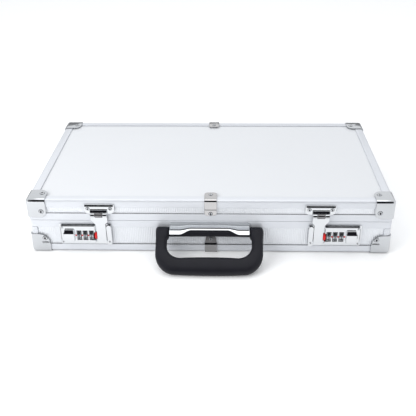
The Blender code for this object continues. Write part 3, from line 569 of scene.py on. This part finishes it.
def ribbed_walls(looks):
    base_low = extent("base_edge_frame", 1, 2)
    base_high = extent("base_closure_frame", 0, 2)
    lid_low = extent("lid_closure_frame", 1, 2)
    lid_high = extent("lid_edge_frame", 0, 2)
    clip = (CLIP_X - CLIP_HALF, CLIP_X + CLIP_HALF)
    front = [(-BASE_HALF_X, -LOCK_OUTER), (-LOCK_INNER, clip[0]), (clip[1], LOCK_INNER),
             (LOCK_OUTER, BASE_HALF_X)]
    rear = [(-BASE_HALF_X, clip[0]), (clip[1], BASE_HALF_X)]
    whole = [(-LID_HALF_X, LID_HALF_X)]
    base = wall_strips({-1: front, 1: rear}, BASE_HALF_Y, base_low, base_high)
    lid = wall_strips({-1: whole, 1: whole}, LID_HALF_Y, lid_low, lid_high)
    base_dashes = seam_dashes(base_low, 184, 96)
    lid_dashes = seam_dashes(lid_low, 187, 100)
    add_piece("base_ribbed_faces", base, looks["ribbed"], "base", 60)
    add_piece("lid_ribbed_faces", lid, looks["ribbed"], "lid", 60)
    # dark dashes of painted shadow on the profiles' ledges
    add_piece("base_seam_shadow", base_dashes, looks["ink"], "base")
    add_piece("lid_seam_shadow", lid_dashes, looks["ink"], "lid")


# ---- rivets and screws ----

RIVET_INSET, TOP_RIVET_INSET = 15.5, 13.5  # of the protectors' rivets from the case's faces
LID_RIVET_Z, BASE_RIVET_Z = HEIGHT - 14.5, 17.7
LID_CLIP_RIVET_Z, BASE_CLIP_RIVET_Z, TOP_CLIP_RIVET_INSET = 48.9, 17.2, 12.2
KEEPER_RIVET_Z, LID_LEAF_Z, BASE_LEAF_Z = 54.6, 49.1, 30.1
HINGE_X = 115


def rivet(centre, normal, radius=2.35):
    """A hollow rivet head over the CAD model's plain one: the rim, a dark disc of painted shade in the
    bore, and a ring of painted contact shadow round its foot.
    """
    height, bore = 1.0, 0.48 * radius
    rim = lathe([
        (bore, 0.62), (bore, 0.84), (bore + 0.12, 0.96), (0.62 * radius, height),
        (0.8 * radius, 0.88), (0.93 * radius, 0.62), (radius, 0.25), (radius + 0.05, 0.0),
        (0.75 * radius, 0.0), (0.75 * radius, 0.5),
    ])
    # painted shade: a dark disc low in the bore, and a thin dark ring round the rim as contact shadow
    painted_shade = lathe([(0.05, 0.63), (bore * 0.98, 0.63), (bore * 0.98, 0.66), (0.05, 0.66)], 16)
    contact_shadow = lathe([(radius - 0.1, 0.01), (radius + 0.32, 0.01), (radius + 0.32, 0.06), (radius - 0.1, 0.06)])
    return turned(rim, normal, centre), turned(merged([painted_shade, contact_shadow]), normal, centre)


def rivet_set(name, spots, looks, body, radius=2.35, look="plated"):
    made = [rivet(centre, normal, radius) for centre, normal in spots]
    add_piece(f"{name}_rivets", merged([rim for rim, _ in made]), looks[look], body, 40)
    add_piece(f"{name}_rivet_shades", merged([painted_shade for _, painted_shade in made]), looks["ink"], body, 40)


def protector_rivets(looks):
    lid, base = [], []
    for sx in (-1, 1):
        for sy in (-1, 1):
            front = (sx * (HALF_WIDTH - RIVET_INSET), sy * HALF_DEPTH)
            side = (sx * HALF_WIDTH, sy * (HALF_DEPTH - RIVET_INSET))
            top = (front[0], sy * (HALF_DEPTH - TOP_RIVET_INSET))
            lid.append(((*front, LID_RIVET_Z), (0, sy, 0)))
            lid.append(((*side, LID_RIVET_Z), (sx, 0, 0)))
            lid.append(((*top, HEIGHT), (0, 0, 1)))
            base.append(((*front, BASE_RIVET_Z), (0, sy, 0)))
            base.append(((*side, BASE_RIVET_Z), (sx, 0, 0)))
    rivet_set("lid_protector", lid, looks, "lid")
    rivet_set("base_protector", base, looks, "base")


def clip_rivets(looks):
    lid, base = [], []
    for sy in (-1, 1):
        lid.append(((CLIP_X, sy * (HALF_DEPTH - 0.3), LID_CLIP_RIVET_Z), (0, sy, 0)))
        lid.append(((CLIP_X, sy * (HALF_DEPTH - TOP_CLIP_RIVET_INSET), HEIGHT), (0, 0, 1)))
        base.append(((CLIP_X, sy * (HALF_DEPTH - 1.3), BASE_CLIP_RIVET_Z), (0, sy, 0)))
    rivet_set("lid_clip", lid, looks, "lid", 1.95)
    rivet_set("base_clip", base, looks, "base", 1.95)


def keeper_and_hinge_rivets(looks):
    keepers, uppers, lowers = [], [], []
    for side in (-1, 1):
        for x in (104.2, 128.0):
            keepers.append(((side * x, SHEET_FRONT, KEEPER_RIVET_Z), (0, -1, 0)))
        for x in (HINGE_X - 10, HINGE_X, HINGE_X + 10):
            uppers.append(((side * x, -SHEET_FRONT, LID_LEAF_Z), (0, 1, 0)))
            lowers.append(((side * x, -SHEET_FRONT, BASE_LEAF_Z), (0, 1, 0)))
    rivet_set("keeper", keepers, looks, "lid", 1.85, "chrome")
    rivet_set("hinge_lid_leaf", uppers, looks, "lid", 2.05)
    rivet_set("hinge_base_leaf", lowers, looks, "base", 2.05)


def screw(centre, radius=1.35):
    """A small pan-head screw facing the front; its cross recess is a thin dark cross of painted shade on
    the head.
    """
    x, y, z = centre
    head = turned(lathe([(0.05, 0.45), (0.5 * radius, 0.43), (0.85 * radius, 0.3), (radius, 0.08),
                         (radius, -0.1), (0.05, -0.1)]), (0, -1, 0), centre)
    arm, half = 0.62 * radius, 0.14
    level = y - 0.46
    # the cross recess as painted shade: two thin dark bars over the head
    cross = [block((x - arm, level, z - half), (x + arm, y - 0.3, z + half)),
             block((x - half, level - 0.005, z - arm), (x + half, y - 0.3, z + arm))]
    return head, merged(cross)


def lock_screws(looks):
    spots = (
        (157.0, HOUSING_FRONT, 32.6), (157.4, HOUSING_FRONT, 14.5), (107.4, HOUSING_FRONT + 0.3, 14.8),
    )
    for side, name in ((-1, "left"), (1, "right")):
        made = [screw((side * x, y, z)) for x, y, z in spots]
        heads = merged([head for head, _ in made])
        slot_shades = merged([cross for _, cross in made])
        add_piece(f"{name}_lock_screws", heads, looks["chrome"], "base", 40)
        add_piece(f"{name}_lock_screw_slots", slot_shades, looks["ink"], "base", 40)


# ---- dials ----

DIAL_FACE = 6.30  # from the axle to the middle of a face
FACET = ((-18, 5.85), (-15.5, 5.85), (-12.5, 6.42), (0, DIAL_FACE), (12.5, 6.42), (15.5, 5.85))
HALF_RIM = ((1.7, 1.0), (1.95, 0.985), (2.3, 0.93), (2.3, 0.25))


def dial_wheel():
    """A ten-sided wheel about x with a groove at each corner and softened rims.

    FACET is one side as angles and radii; HALF_RIM is half the width as x and share of those.
    """
    outline = []
    for side in range(10):
        for angle, radius in FACET:
            turn = radians(36 * side + angle)
            outline.append((-radius * cos(turn), radius * sin(turn)))
    loops = []
    for x, scale in [(-x, scale) for x, scale in HALF_RIM[::-1]] + list(HALF_RIM):
        loops.append([(x, y * scale, z * scale) for y, z in outline])
    return skin(loops, closed=True)


def digit_shape(digit):
    """One digit as a thin raised shape, centred, facing +z."""
    text = bpy.data.curves.new("digit", "FONT")
    text.body = str(digit)
    text.size = 3.6
    text.extrude = 0.07
    text.offset = 0.05
    text.resolution_u = 3
    text.align_x, text.align_y = "CENTER", "CENTER"
    holder = new_object("digit", text)
    bpy.context.view_layer.update()
    mesh = bpy.data.meshes.new_from_object(holder.evaluated_get(bpy.context.evaluated_depsgraph_get()))
    shape = bmesh.new()
    shape.from_mesh(mesh)
    bpy.data.objects.remove(holder)
    bpy.data.curves.remove(text)
    bpy.data.meshes.remove(mesh)
    return shape


def dials(looks):
    digits = [digit_shape(digit) for digit in range(10)]
    facing = Matrix.Translation((0, -DIAL_FACE, 0)) @ Matrix.Rotation(radians(90), 4, "X")
    shown = {"left": (3, 0, 8), "right": (5, 0, 2)}
    for side, name in ((-1, "left"), (1, "right")):
        for number, centre in enumerate(DIAL_CENTRES, start=1):
            spot = Matrix.Translation((side * centre, DIAL_Y, DIAL_Z))
            body = f"dial_{name}_{number}"
            wheel = moved(dial_wheel(), spot)
            piece = add_piece(f"{name}_dial_{number}_wheel", wheel, looks["dial"], body,
                              25)
            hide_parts(f"{name}_dial_{number}")
            ring = []
            for digit in range(10):
                turn = Matrix.Rotation(radians(36 * (shown[name][number - 1] - digit)), 4, "X")
                ring.append(moved(digits[digit].copy(), spot @ turn @ facing))
            add_piece(f"{name}_dial_{number}_digits", merged(ring), looks["ink"], body,
                      40)


def index_lines(looks):
    """The red marks at the height of the axle, beside the dials."""
    wide, high = 0.88, 0.9
    marks = []
    for x in (129.5, 136.1, 142.9):
        marks.append(block((x - wide, HOUSING_FRONT - 0.1, DIAL_Z - high),
                           (x + wide, HOUSING_FRONT + 0.2, DIAL_Z + high)))
    add_pair("*_index_marks", merged(marks), looks["red"], "base", 40)


# ---- handle ----

ARM_INNER, ARM_OUTER, ARM_TOP = 42.6, 56.9, 6.5
INNER_BEND = (30.0, 15.0, 14.4, 14.2)  # centre's x and distance from the pivot, half sizes
OUTER_BEND = (35.3, 24.0, 20.8, 22.9)
GRIP_CROWN = 0.9
HALF_THICK = 6.0


def grip_edges():
    """Inner edge, outer edge and thickness of sections down the handle's right half."""
    rows = []
    for step in range(13):
        turn = pi / 2 * step / 12
        share = max(0.1, sin(turn) ** 0.75)
        inset = 2.7 * (1 - share) ** 1.4
        reach = -ARM_TOP * cos(turn)
        rows.append(((ARM_INNER, reach), (ARM_OUTER - inset, reach), HALF_THICK * share))
    bend_x = INNER_BEND[0] + INNER_BEND[2]
    inside = ((ARM_INNER, 2.6), (ARM_INNER, 5.0), (ARM_INNER + 0.5, 6.0), (44.1, 7.2), (bend_x, 8.4))
    for x, reach in inside:
        rows.append(((x, reach), (ARM_OUTER - 0.06 * reach, reach), HALF_THICK))
    for part in (0.33, 0.67):
        outer_x = ARM_OUTER - 0.5 + (OUTER_BEND[0] + OUTER_BEND[2] - ARM_OUTER + 0.5) * part
        rows.append(((bend_x, 8.4 + 6.6 * part), (outer_x, 8.4 + 15.6 * part), HALF_THICK))
    for step in range(25):
        turn = pi / 2 * step / 24
        inner, outer = (
            (x + a * cos(turn), reach + b * sin(turn))
            for x, reach, a, b in (INNER_BEND, OUTER_BEND)
        )
        rows.append((inner, outer, HALF_THICK))
    (inner_x, inner), (outer_x, outer), _ = rows[-1]
    for step in range(1, 9):
        part = 1 - step / 8
        rise = GRIP_CROWN * (1 - part * part)
        rows.append(((inner_x * part, inner - rise), (outer_x * part, outer + rise), HALF_THICK))
    return rows


def grip_ring(inner, outer, half_thick, points=32):
    """A softened rectangle between the inner and the outer edge."""
    middle = (Vector(inner) + Vector(outer)) / 2
    half = (Vector(outer) - Vector(inner)) / 2
    ring = []
    for step in range(points):
        angle = 2 * pi * (step + 0.5) / points
        u = copysign(abs(cos(angle)) ** 0.75, cos(angle))
        v = copysign(abs(sin(angle)) ** 0.75, sin(angle))
        spot = middle + half * u
        ring.append((spot.x, -spot.y, v * half_thick))
    return ring


def handle_grip(looks):
    rows = grip_edges()
    right = [grip_ring(*row) for row in rows]
    left = [[(-x, y, z) for x, y, z in ring] for ring in right[-2::-1]]
    swing = Matrix.Translation((0, HANDLE_Y, HANDLE_Z)) @ Matrix.Rotation(HANDLE_DROP, 4, "X")
    shape = moved(skin(right + left), swing)
    piece = add_piece("moulded_grip", shape, looks["black"], "handle", 50)
    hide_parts("handle_grip")


BRACKET_HALF, BRACKET_LOW, BRACKET_HIGH = 42.0, 22.2, 37.8
HOOD_ENDS = ((-1.0, 34.2), (-7.9, 33.5), (-11.7, 30.75), (-11.1, 30.1))
HOOD_MIDDLE = ((-1.0, 35.1), (-6.1, 34.6), (-7.7, 33.55), (-7.3, 32.9))
BAR_RADIUS, BAR_HALF = 4.0, 43.4


def middle_share(x):
    """0 where the hood has its end section, 1 where it has its middle one, straight between."""
    return min(1, max(0, (32 - abs(x)) / 13))


def hood(x):
    """Points (y, z) of the hood over the bar at x: root, crest, lip, lip's underside.

    At its ends the hood reaches down in front of the bar; in the middle it is short and high.
    HOOD_ENDS and HOOD_MIDDLE give those sections, with y from the front of the case.
    """
    share = middle_share(x)
    share = share * share * (3 - 2 * share)
    front = Vector((FRONT, 0))
    return [front + Vector(a).lerp(Vector(b), share) for a, b in zip(HOOD_ENDS, HOOD_MIDDLE)]


def bracket_plate(x):
    """The plate's section, with the ledge that carries the hood."""
    root, crest, _, _ = hood(x)
    back, front = SHEET_FRONT + PLATE, root.x
    beyond = max(0, abs(x) - (BRACKET_HALF - 1.5))
    cut = 1.5 - sqrt(max(0, 1.5 ** 2 - beyond ** 2))
    low, high = BRACKET_LOW + cut, BRACKET_HIGH - cut
    return [
        (back, low), (back, high), (front + 0.3, high), (front, high - 0.3), (front, root.y + 0.4),
        (front - 0.4, root.y), tuple(crest + Vector((0.5, 0.05))), tuple(crest + Vector((0.5, -1.0))),
        (front - 0.3, root.y - 1.4), (front, root.y - 1.8), (front, low + 0.3), (front + 0.3, low),
    ]


def bracket_hood(x):
    _, crest, lip, under = hood(x)
    bulge = (crest + lip) / 2 + Vector((-0.1, 0.12))
    return [tuple(crest + Vector((0.5, 0.05))), tuple(crest), tuple(bulge), tuple(lip),
            tuple(lip.lerp(under, 0.5) + Vector((-0.12, -0.08))), tuple(under),
            tuple(crest + Vector((0.5, -1.1)))]


def bracket_crease(x):
    """Painted shade along the crease between ledge and hood: a thin dark strip that follows the crest."""
    crest = hood(x)[1]
    wide = 0.75 + 0.35 * middle_share(x)
    corners = ((1.1, 0.12), (1.1, 0.18), (-0.2, 0.06), (-0.02 - 0.6 * wide, -0.5 * wide),
               (-0.6 * wide, -0.56 * wide))
    return [tuple(crest + Vector(corner)) for corner in corners]


def handle_bracket(looks):
    end = [BRACKET_HALF, 41.9, 41.6, 41.1, 40.5, 37, 34.5]
    stations = end + [32 - step for step in range(14)] + [12, 6]
    xs = [-x for x in stations] + [0] + stations[::-1]
    for name, section, look, angle in (("bracket_plate", bracket_plate, "satin", 40),
                                       ("bracket_hood", bracket_hood, "chrome", 38)):
        shape = skin([[(x, y, z) for y, z in section(x)] for x in xs])
        piece = add_piece(name, shape, looks[look], "base", angle)
        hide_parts("handle_bracket")
    # the crease: a dark strip of painted shade
    crease = skin([[(x, y, z) for y, z in bracket_crease(x)] for x in xs[2:-2]])
    add_piece("bracket_crease", crease, looks["ink"], "base", 30)


def handle_bar(looks):
    """The black bar between the arms, under the bracket's hood and a little slimmer in the middle."""
    loops = []
    for step in range(-22, 23):
        x = BAR_HALF * step / 22
        radius = BAR_RADIUS - 0.35 * (1 - (x / BAR_HALF) ** 2)
        loops.append([(x, y, z) for y, z in arc((HANDLE_Y, HANDLE_Z), radius, 0, 352.5, 47)])
    add_piece("grip_bar", skin(loops), looks["black"], "handle", 50)


# ---- release buttons and latches ----

def release_buttons(looks):
    """A wedge-topped cap on each lock, narrower at its top."""
    inner, outer, back, face = 144.2, 155.3, HOUSING_FRONT - 0.3, FRONT - 7.0
    side = [(back, 17.0), (face + 1.0, 17.0), (face + 0.2, 17.4), (face, 18.2), (face - 0.15, 22.0),
            (face - 0.1, 25.5), (face, 27.1), (face + 2.5, 30.6), (face + 2.9, 30.9), (back, 30.9)]
    cap = prism(side, "x", inner, outer)
    for vert in cap.verts:
        if vert.co.z > 30:
            vert.co.x += 0.8 if vert.co.x < 150 else -0.8
    stem = block((inner + 2.7, back - 0.5, 21.3), (outer - 2.5, back + 1.0, 25.7))
    add_pair("*_release_button", merged([cap, stem]), looks["chrome"], "button_*", 30,
             0.3, "*_slide_button")


HASP_Y, HASP_Z, HASP_RADIUS, HASP_BORE = FRONT - 2.8, 48.4, 2.35, 1.1
KNUCKLES = (107.8, 112.4, 120.6, 125.2)


def tube(radius, bore, start, end, centre):
    """A tube along x with softened ends."""
    edge = 0.22
    profile = [(bore, start), (radius - edge, start), (radius, start + edge), (radius, end - edge),
               (radius - edge, end), (bore, end)]
    return turned(lathe(profile, 40), (1, 0, 0), (0, *centre))


def knuckle_groove(start, end):
    """A painted dark reflection along the front of a knuckle: a thin dark skin over the barrel."""
    ring = []
    for radius, first, last in ((HASP_RADIUS + 0.03, 148, 182), (HASP_RADIUS - 0.05, 182, 148)):
        ring += arc((HASP_Y, HASP_Z), radius, first, last, 5)
    return prism(ring, "x", start, end)


def hasps(looks):
    front, back = HASP_Y - PLATE / 2, HASP_Y + PLATE / 2
    root, notch, low = HASP_Z - 1.4, HASP_Z - HASP_RADIUS - 0.4, 13.2
    outline = [
        (111.3, low), (119.0, low), (119.7, low + 0.3), (120.0, low + 1.0), (120.0, 35.4),
        (120.3, 36.2), (124.7, 41.6), (125.2, 42.6), (125.2, root), (KNUCKLES[2], root),
        (KNUCKLES[2] - 0.1, notch + 0.3), (KNUCKLES[2] - 0.4, notch), (KNUCKLES[1] + 0.4, notch),
        (KNUCKLES[1] + 0.1, notch + 0.3), (KNUCKLES[1], root), (KNUCKLES[0], root),
        (KNUCKLES[0], 40.4), (108.2, 39.4), (109.9, 37.8), (110.3, 37.0), (110.3, low + 1.0),
        (110.6, low + 0.3),
    ]
    spans = (KNUCKLES[:2], KNUCKLES[2:])
    plate = prism(outline, "y", front, back)
    barrels = [tube(HASP_RADIUS, HASP_BORE, *span, (HASP_Y, HASP_Z)) for span in spans]
    staple = block((113.0, back - 0.5, 21.6), (117.0, SHEET_FRONT - 0.4, 26.0))
    # dark strips of painted reflection over the knuckles
    dark_reflections = [knuckle_groove(start + 0.3, end - 0.3) for start, end in spans]
    add_pair("*_hasp_plate", merged([plate, *barrels, staple]), looks["chrome"], "hasp_*",
             30, 0.18, "*_hasp")
    add_pair("*_hasp_grooves", merged(dark_reflections), looks["ink"], "hasp_*")


def keepers(looks):
    (x0, z0), (x1, z1) = (99.8, 48.7), (132.0, 59.8)
    outline = (
        arc((x1 - 4.4, z0 + 4.4), 4.4, -90, 0, 10) + arc((x1 - 1.8, z1 - 1.8), 1.8, 0, 90, 6)
        + arc((x0 + 1.8, z1 - 1.8), 1.8, 90, 180, 6) + arc((x0 + 4.4, z0 + 4.4), 4.4, 180, 270, 10)
    )
    sunk = SHEET_FRONT + 0.6
    brow_side = [(sunk, 56.9), (FRONT - 1.5, 57.1), (FRONT - 1.7, 57.4), (FRONT - 1.65, 57.8),
                 (FRONT - 0.75, z1 - 0.3), (FRONT - 0.55, z1 - 0.15), (sunk, z1 - 0.15)]
    shroud_side = [(sunk, 50.95), (FRONT - 3.1, 50.95), (FRONT - 3.25, 51.2), (FRONT - 1.65, 53.5),
                   (FRONT - 1.4, 53.7), (sunk, 53.7)]
    plate = prism(outline, "y", SHEET_FRONT, SHEET_FRONT + PLATE)
    brow = prism(brow_side, "x", x0 + 1.0, x1 - 1.0)
    shroud = prism(shroud_side, "x", KNUCKLES[0] - 0.3, KNUCKLES[3] + 0.3)
    ends = (KNUCKLES[1] + 0.3, KNUCKLES[2] - 0.3)
    web = block((ends[0], HASP_Y - 0.2, HASP_Z + 1.5), (ends[1], sunk, 51.5))
    barrel = tube(HASP_RADIUS + 0.1, HASP_BORE, *ends, (HASP_Y - 0.05, HASP_Z))
    for part, shapes, look in (("plate", [plate, brow, shroud], "chrome"),
                               ("barrel", [web, barrel], "shaded_steel")):
        add_pair(f"*_keeper_{part}", merged(shapes), looks[look], "lid", 30, 0.18,
                 "*_hasp_keeper")


# ---- base clips ----

def base_clips(looks):
    """Bent strips from under the case up its wall, with a step back onto the ribbed board."""
    thick, half, bend, reach, step = 0.8, 6.5, 2.6, 17.4, 1.25
    centre = (FRONT + bend, bend)
    outline = [
        (FRONT + reach, 0.0), *arc(centre, bend, 270, 180, 10), (FRONT, 10.3), (FRONT + step, 12.0),
        (FRONT + step, 12.3), (FRONT + step + thick, 12.3), (FRONT + step + thick, 11.4),
        (FRONT + thick, 9.8), *arc(centre, bend - thick, 180, 270, 10), (FRONT + reach, thick),
    ]
    leaf = [(CLIP_X - 6.1, 12.2), (CLIP_X + 6.1, 12.2)]
    leaf += arc((CLIP_X + 2.4, 17.1), 3.2, 0, 90, 8) + arc((CLIP_X - 2.4, 17.1), 3.2, 90, 180, 8)
    strip = prism(outline, "x", CLIP_X - half, CLIP_X + half)
    add_pair("base_*_clip_strip", strip, looks["nickel_low"], "base", 30, 0.15,
             "base_*_clip", FRONT_REAR)
    tip = prism(leaf, "y", FRONT + step, FRONT + step + 0.75)
    add_pair("base_*_clip_leaf", tip, looks["shaded_steel"], "base", 30, 0.12,
             sides=FRONT_REAR)
    # a dark strip of painted shade under the step on each lid clip
    line = block((CLIP_X - 6.4, FRONT - 0.03, 53.25), (CLIP_X + 6.4, FRONT + 0.25, 53.95))
    add_pair("lid_*_clip_step", line, looks["ink"], "lid", sides=FRONT_REAR)


# ---- embossed beads on the base protectors ----

def bead(length, width, height):
    """A raised bead along x with rounded ends, rising along +z from a sunk foot."""
    loops = []
    for share in (1.0, 0.97, 0.86, 0.66, 0.36, 0.12):
        rise = height * sqrt(1 - share * share)
        half = width / 2 * share
        straight = length / 2 - width / 2
        ring = arc((straight, 0), half, -90, 90, 8) + arc((-straight, 0), half, 90, 270, 8)
        loops.append([(x, y, rise - 0.1) for x, y in ring])
    return skin(loops)


def protector_beads(looks):
    """A bead under the rivet on each upright leaf."""
    inset, level = 15.8, 12.0
    upright = Matrix.Rotation(radians(90), 4, "X")
    sideways = Matrix.Rotation(radians(90), 4, "Z") @ upright
    leaves = (
        (Matrix.Translation((HALF_WIDTH - inset, FRONT, level)) @ upright, -1),
        (Matrix.Translation((HALF_WIDTH, HALF_DEPTH - inset, level)) @ sideways, 1),
    )
    shapes = []
    for sx in (-1, 1):
        for sy in (-1, 1):
            for place, flip in leaves:
                shape = moved(bead(9.5, 3.0, 1.2), place)
                shapes.append(mirrored(shape, x=sx, y=flip * sy))
                shape.free()
    add_piece("base_protector_beads", merged(shapes), looks["plated"], "base", 60)


# ---- padded lid lining ----

QUILT_CELL, QUILT_STEP = 46.0, 4.5  # spacing of the sewn lines and of the mesh
PUFF = 3.6  # how far the padding may swell


def pad_mesh(low, high, columns, rows):
    """A closed box of thin sheets, front and back cut into a grid; the points are in metres."""
    shape = bmesh.new()
    grid = {}
    for i in range(columns + 1):
        for j in range(rows + 1):
            x = low.x + (high.x - low.x) * i / columns
            y = low.y + (high.y - low.y) * j / rows
            grid[i, j, 0] = shape.verts.new((x * MM, y * MM, low.z * MM))
            grid[i, j, 1] = shape.verts.new((x * MM, y * MM, high.z * MM))
    for i in range(columns):
        for j in range(rows):
            under = ((i, j), (i, j + 1), (i + 1, j + 1), (i + 1, j))
            shape.faces.new([grid[a, b, 0] for a, b in under])
            shape.faces.new([grid[a, b, 1] for a, b in (under[0], *under[:0:-1])])
    rim = [(i, 0) for i in range(columns)] + [(columns, j) for j in range(rows)]
    rim += [(i, rows) for i in range(columns, 0, -1)] + [(0, j) for j in range(rows, 0, -1)]
    for a, b in zip(rim, rim[1:] + rim[:1]):
        shape.faces.new((grid[*a, 0], grid[*b, 0], grid[*b, 1], grid[*a, 1]))
    bmesh.ops.recalc_face_normals(shape, faces=shape.faces)
    mesh = bpy.data.meshes.new("lid_quilted_lining")
    shape.to_mesh(mesh)
    shape.free()
    return mesh


def sew(pad, low, high):
    """Put the back, the rim and a net of slanting lines into the group that stays put."""
    sewn = pad.vertex_groups.new(name="sewn")
    width, depth = high.x - low.x, high.y - low.y
    cell_x, cell_y = width / round(width / QUILT_CELL), depth / round(depth / QUILT_CELL)
    for vert in pad.data.vertices:
        x, y, z = (value / MM for value in vert.co)
        u, v = (x - low.x) / cell_x, (y - low.y) / cell_y
        off_line = min(abs(u - v - round(u - v)), abs(u + v - round(u + v)))
        on_rim = min(x - low.x, high.x - x, y - low.y, high.y - y) < 0.1
        if z > (low.z + high.z) / 2 or off_line < 0.5 * QUILT_STEP / QUILT_CELL or on_rim:
            sewn.add([vert.index], 1.0, "REPLACE")


def lid_lining(looks):
    """A quilted pad: cloth is blown up between sewn lines and its back, which stay put."""
    low, high = (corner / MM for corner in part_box("lid_foam_pad"))
    low = low + Vector((4.0, 4.0, 4.0))
    high = high - Vector((4.0, 4.0, 0.3))
    columns, rows = round((high.x - low.x) / QUILT_STEP), round((high.y - low.y) / QUILT_STEP)
    pad = new_object("lid_quilted_lining", pad_mesh(low, high, columns, rows))
    sew(pad, low, high)
    blow_up(pad, PUFF)
    refine = pad.modifiers.new("refine", "SUBSURF")
    refine.levels = refine.render_levels = 1
    pad.data.materials.append(looks["cloth"])
    pad.data.shade_smooth()
    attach(pad, "lid")
    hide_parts("lid_foam_pad")


def blow_up(pad, cap):
    """Run a short pressure simulation, apply it, and cap how far each point has moved."""
    rest = [vert.co.copy() for vert in pad.data.vertices]
    cloth = pad.modifiers.new("cloth", "CLOTH")
    cloth.settings.use_pressure = True
    cloth.settings.mass = 0.001
    cloth.settings.uniform_pressure_force = 2000
    cloth.settings.vertex_group_mass = "sewn"
    cloth.settings.effector_weights.gravity = 0.0
    cloth.settings.quality = 6
    cloth.settings.tension_stiffness = 8
    cloth.settings.compression_stiffness = 8
    scene = bpy.context.scene
    for number in range(1, 21):
        scene.frame_set(number)
    settled = pad.evaluated_get(bpy.context.evaluated_depsgraph_get())
    points = [vert.co.copy() for vert in settled.data.vertices]
    pad.modifiers.remove(cloth)
    for vert, start, end in zip(pad.data.vertices, rest, points):
        move = end - start
        if move.length > cap * MM:
            move *= cap * MM / move.length
        vert.co = start + move
    scene.frame_set(1)


# ---- studio ----

ROOM_TOP = 66  # elevation in degrees
SURROUND, SHEEN = 0.80, 0.25  # the surround's strength, and what reflections add
EYE = Vector((17.7, FRAME_FRONT - 589.4, 394.9)) * MM
YAW, PITCH, ROLL = 1.86, 60.12, -0.62  # degrees
LENS, SENSOR = 56.41, 36.0


def studio():
    mesh = bpy.data.meshes.new("studio_floor")
    half = 6.0  # metres
    corners = [(-half, -half, 0), (half, -half, 0), (half, half, 0), (-half, half, 0)]
    mesh.from_pydata(corners, [], [(0, 1, 2, 3)])
    mesh.materials.append(floor_material())
    new_object("studio_floor", mesh)
    world_light()
    soft_light("ceiling", (0, 0.1, 1.7), (0, 0.1, 0), 1.8, 9)
    soft_light("left", (-0.55, -0.55, 0.5), (-0.1, 0, 0.03), 0.5, 3.4, glossy=False)


def world_light():
    """A white surround, brighter in reflections. Shiny metal also picks up a dark room: what
    is ahead, up to ROOM_TOP degrees, and a low grey strip behind."""
    world = bpy.data.worlds.new("studio")
    bpy.context.scene.world = world
    world.use_nodes = True
    world.node_tree.nodes.clear()
    graph = Graph(world.node_tree)
    direction = graph.node("ShaderNodeTexCoord").outputs["Generated"]
    x, y, z = graph.node("ShaderNodeSeparateXYZ", Vector=direction).outputs

    def step(value, start, end, top=1.0):
        return graph.node("ShaderNodeMapRange", {"interpolation_type": "SMOOTHSTEP"}, Value=value,
                          From_Min=start, From_Max=end, To_Max=top).outputs[0]

    lean = radians(ROOM_TOP)
    ahead = graph.maths("SUBTRACT", graph.times(y, -sin(lean)), graph.times(z, cos(lean)))
    room = graph.times(step(ahead, -0.03, 0.05), step(graph.maths("ABSOLUTE", x), 0.66, 0.46))
    behind = graph.times(step(y, 0.1, 0.4, 0.75), step(z, 0.26, 0.2))
    glossy = graph.node("ShaderNodeLightPath").outputs["Is Glossy Ray"]
    dark = graph.times(graph.maths("MAXIMUM", room, behind), glossy)
    colour = graph.mix(dark, (0.97, 0.985, 1.0), (0.010, 0.010, 0.014))
    strength = graph.maths("ADD", graph.times(glossy, SHEEN), SURROUND)
    background = graph.node("ShaderNodeBackground", Color=colour, Strength=strength)
    graph.node("ShaderNodeOutputWorld", Surface=background.outputs[0])


def soft_light(name, spot, target, size, power, glossy=True):
    light = bpy.data.lights.new(name, "AREA")
    light.shape = "SQUARE"
    light.size = size
    light.energy = power
    lamp = new_object(name, light)
    lamp.location = spot
    lamp.rotation_mode = "QUATERNION"
    lamp.rotation_quaternion = (Vector(target) - Vector(spot)).to_track_quat("-Z", "Y")
    lamp.visible_glossy = glossy


def camera():
    lens = bpy.data.cameras.new("camera")
    lens.lens = LENS
    lens.sensor_width = SENSOR
    lens.clip_start = 0.01
    eye = new_object("camera", lens)
    turn = Matrix.Rotation(radians(YAW), 4, "Z") @ Matrix.Rotation(radians(PITCH), 4, "X")
    turn = turn @ Matrix.Rotation(radians(ROLL), 4, "Z")
    eye.matrix_world = Matrix.Translation(EYE) @ turn
    bpy.context.scene.camera = eye


def build_looks():
    looks = make_materials()
    dress_nodes(looks)
    ribbed_walls(looks)
    protector_rivets(looks)
    clip_rivets(looks)
    keeper_and_hinge_rivets(looks)
    lock_screws(looks)
    dials(looks)
    index_lines(looks)
    handle_grip(looks)
    handle_bracket(looks)
    handle_bar(looks)
    release_buttons(looks)
    hasps(looks)
    keepers(looks)
    base_clips(looks)
    protector_beads(looks)
    lid_lining(looks)
    studio()
    camera()
    bpy.context.scene.view_settings.view_transform = "Standard"


build_looks()
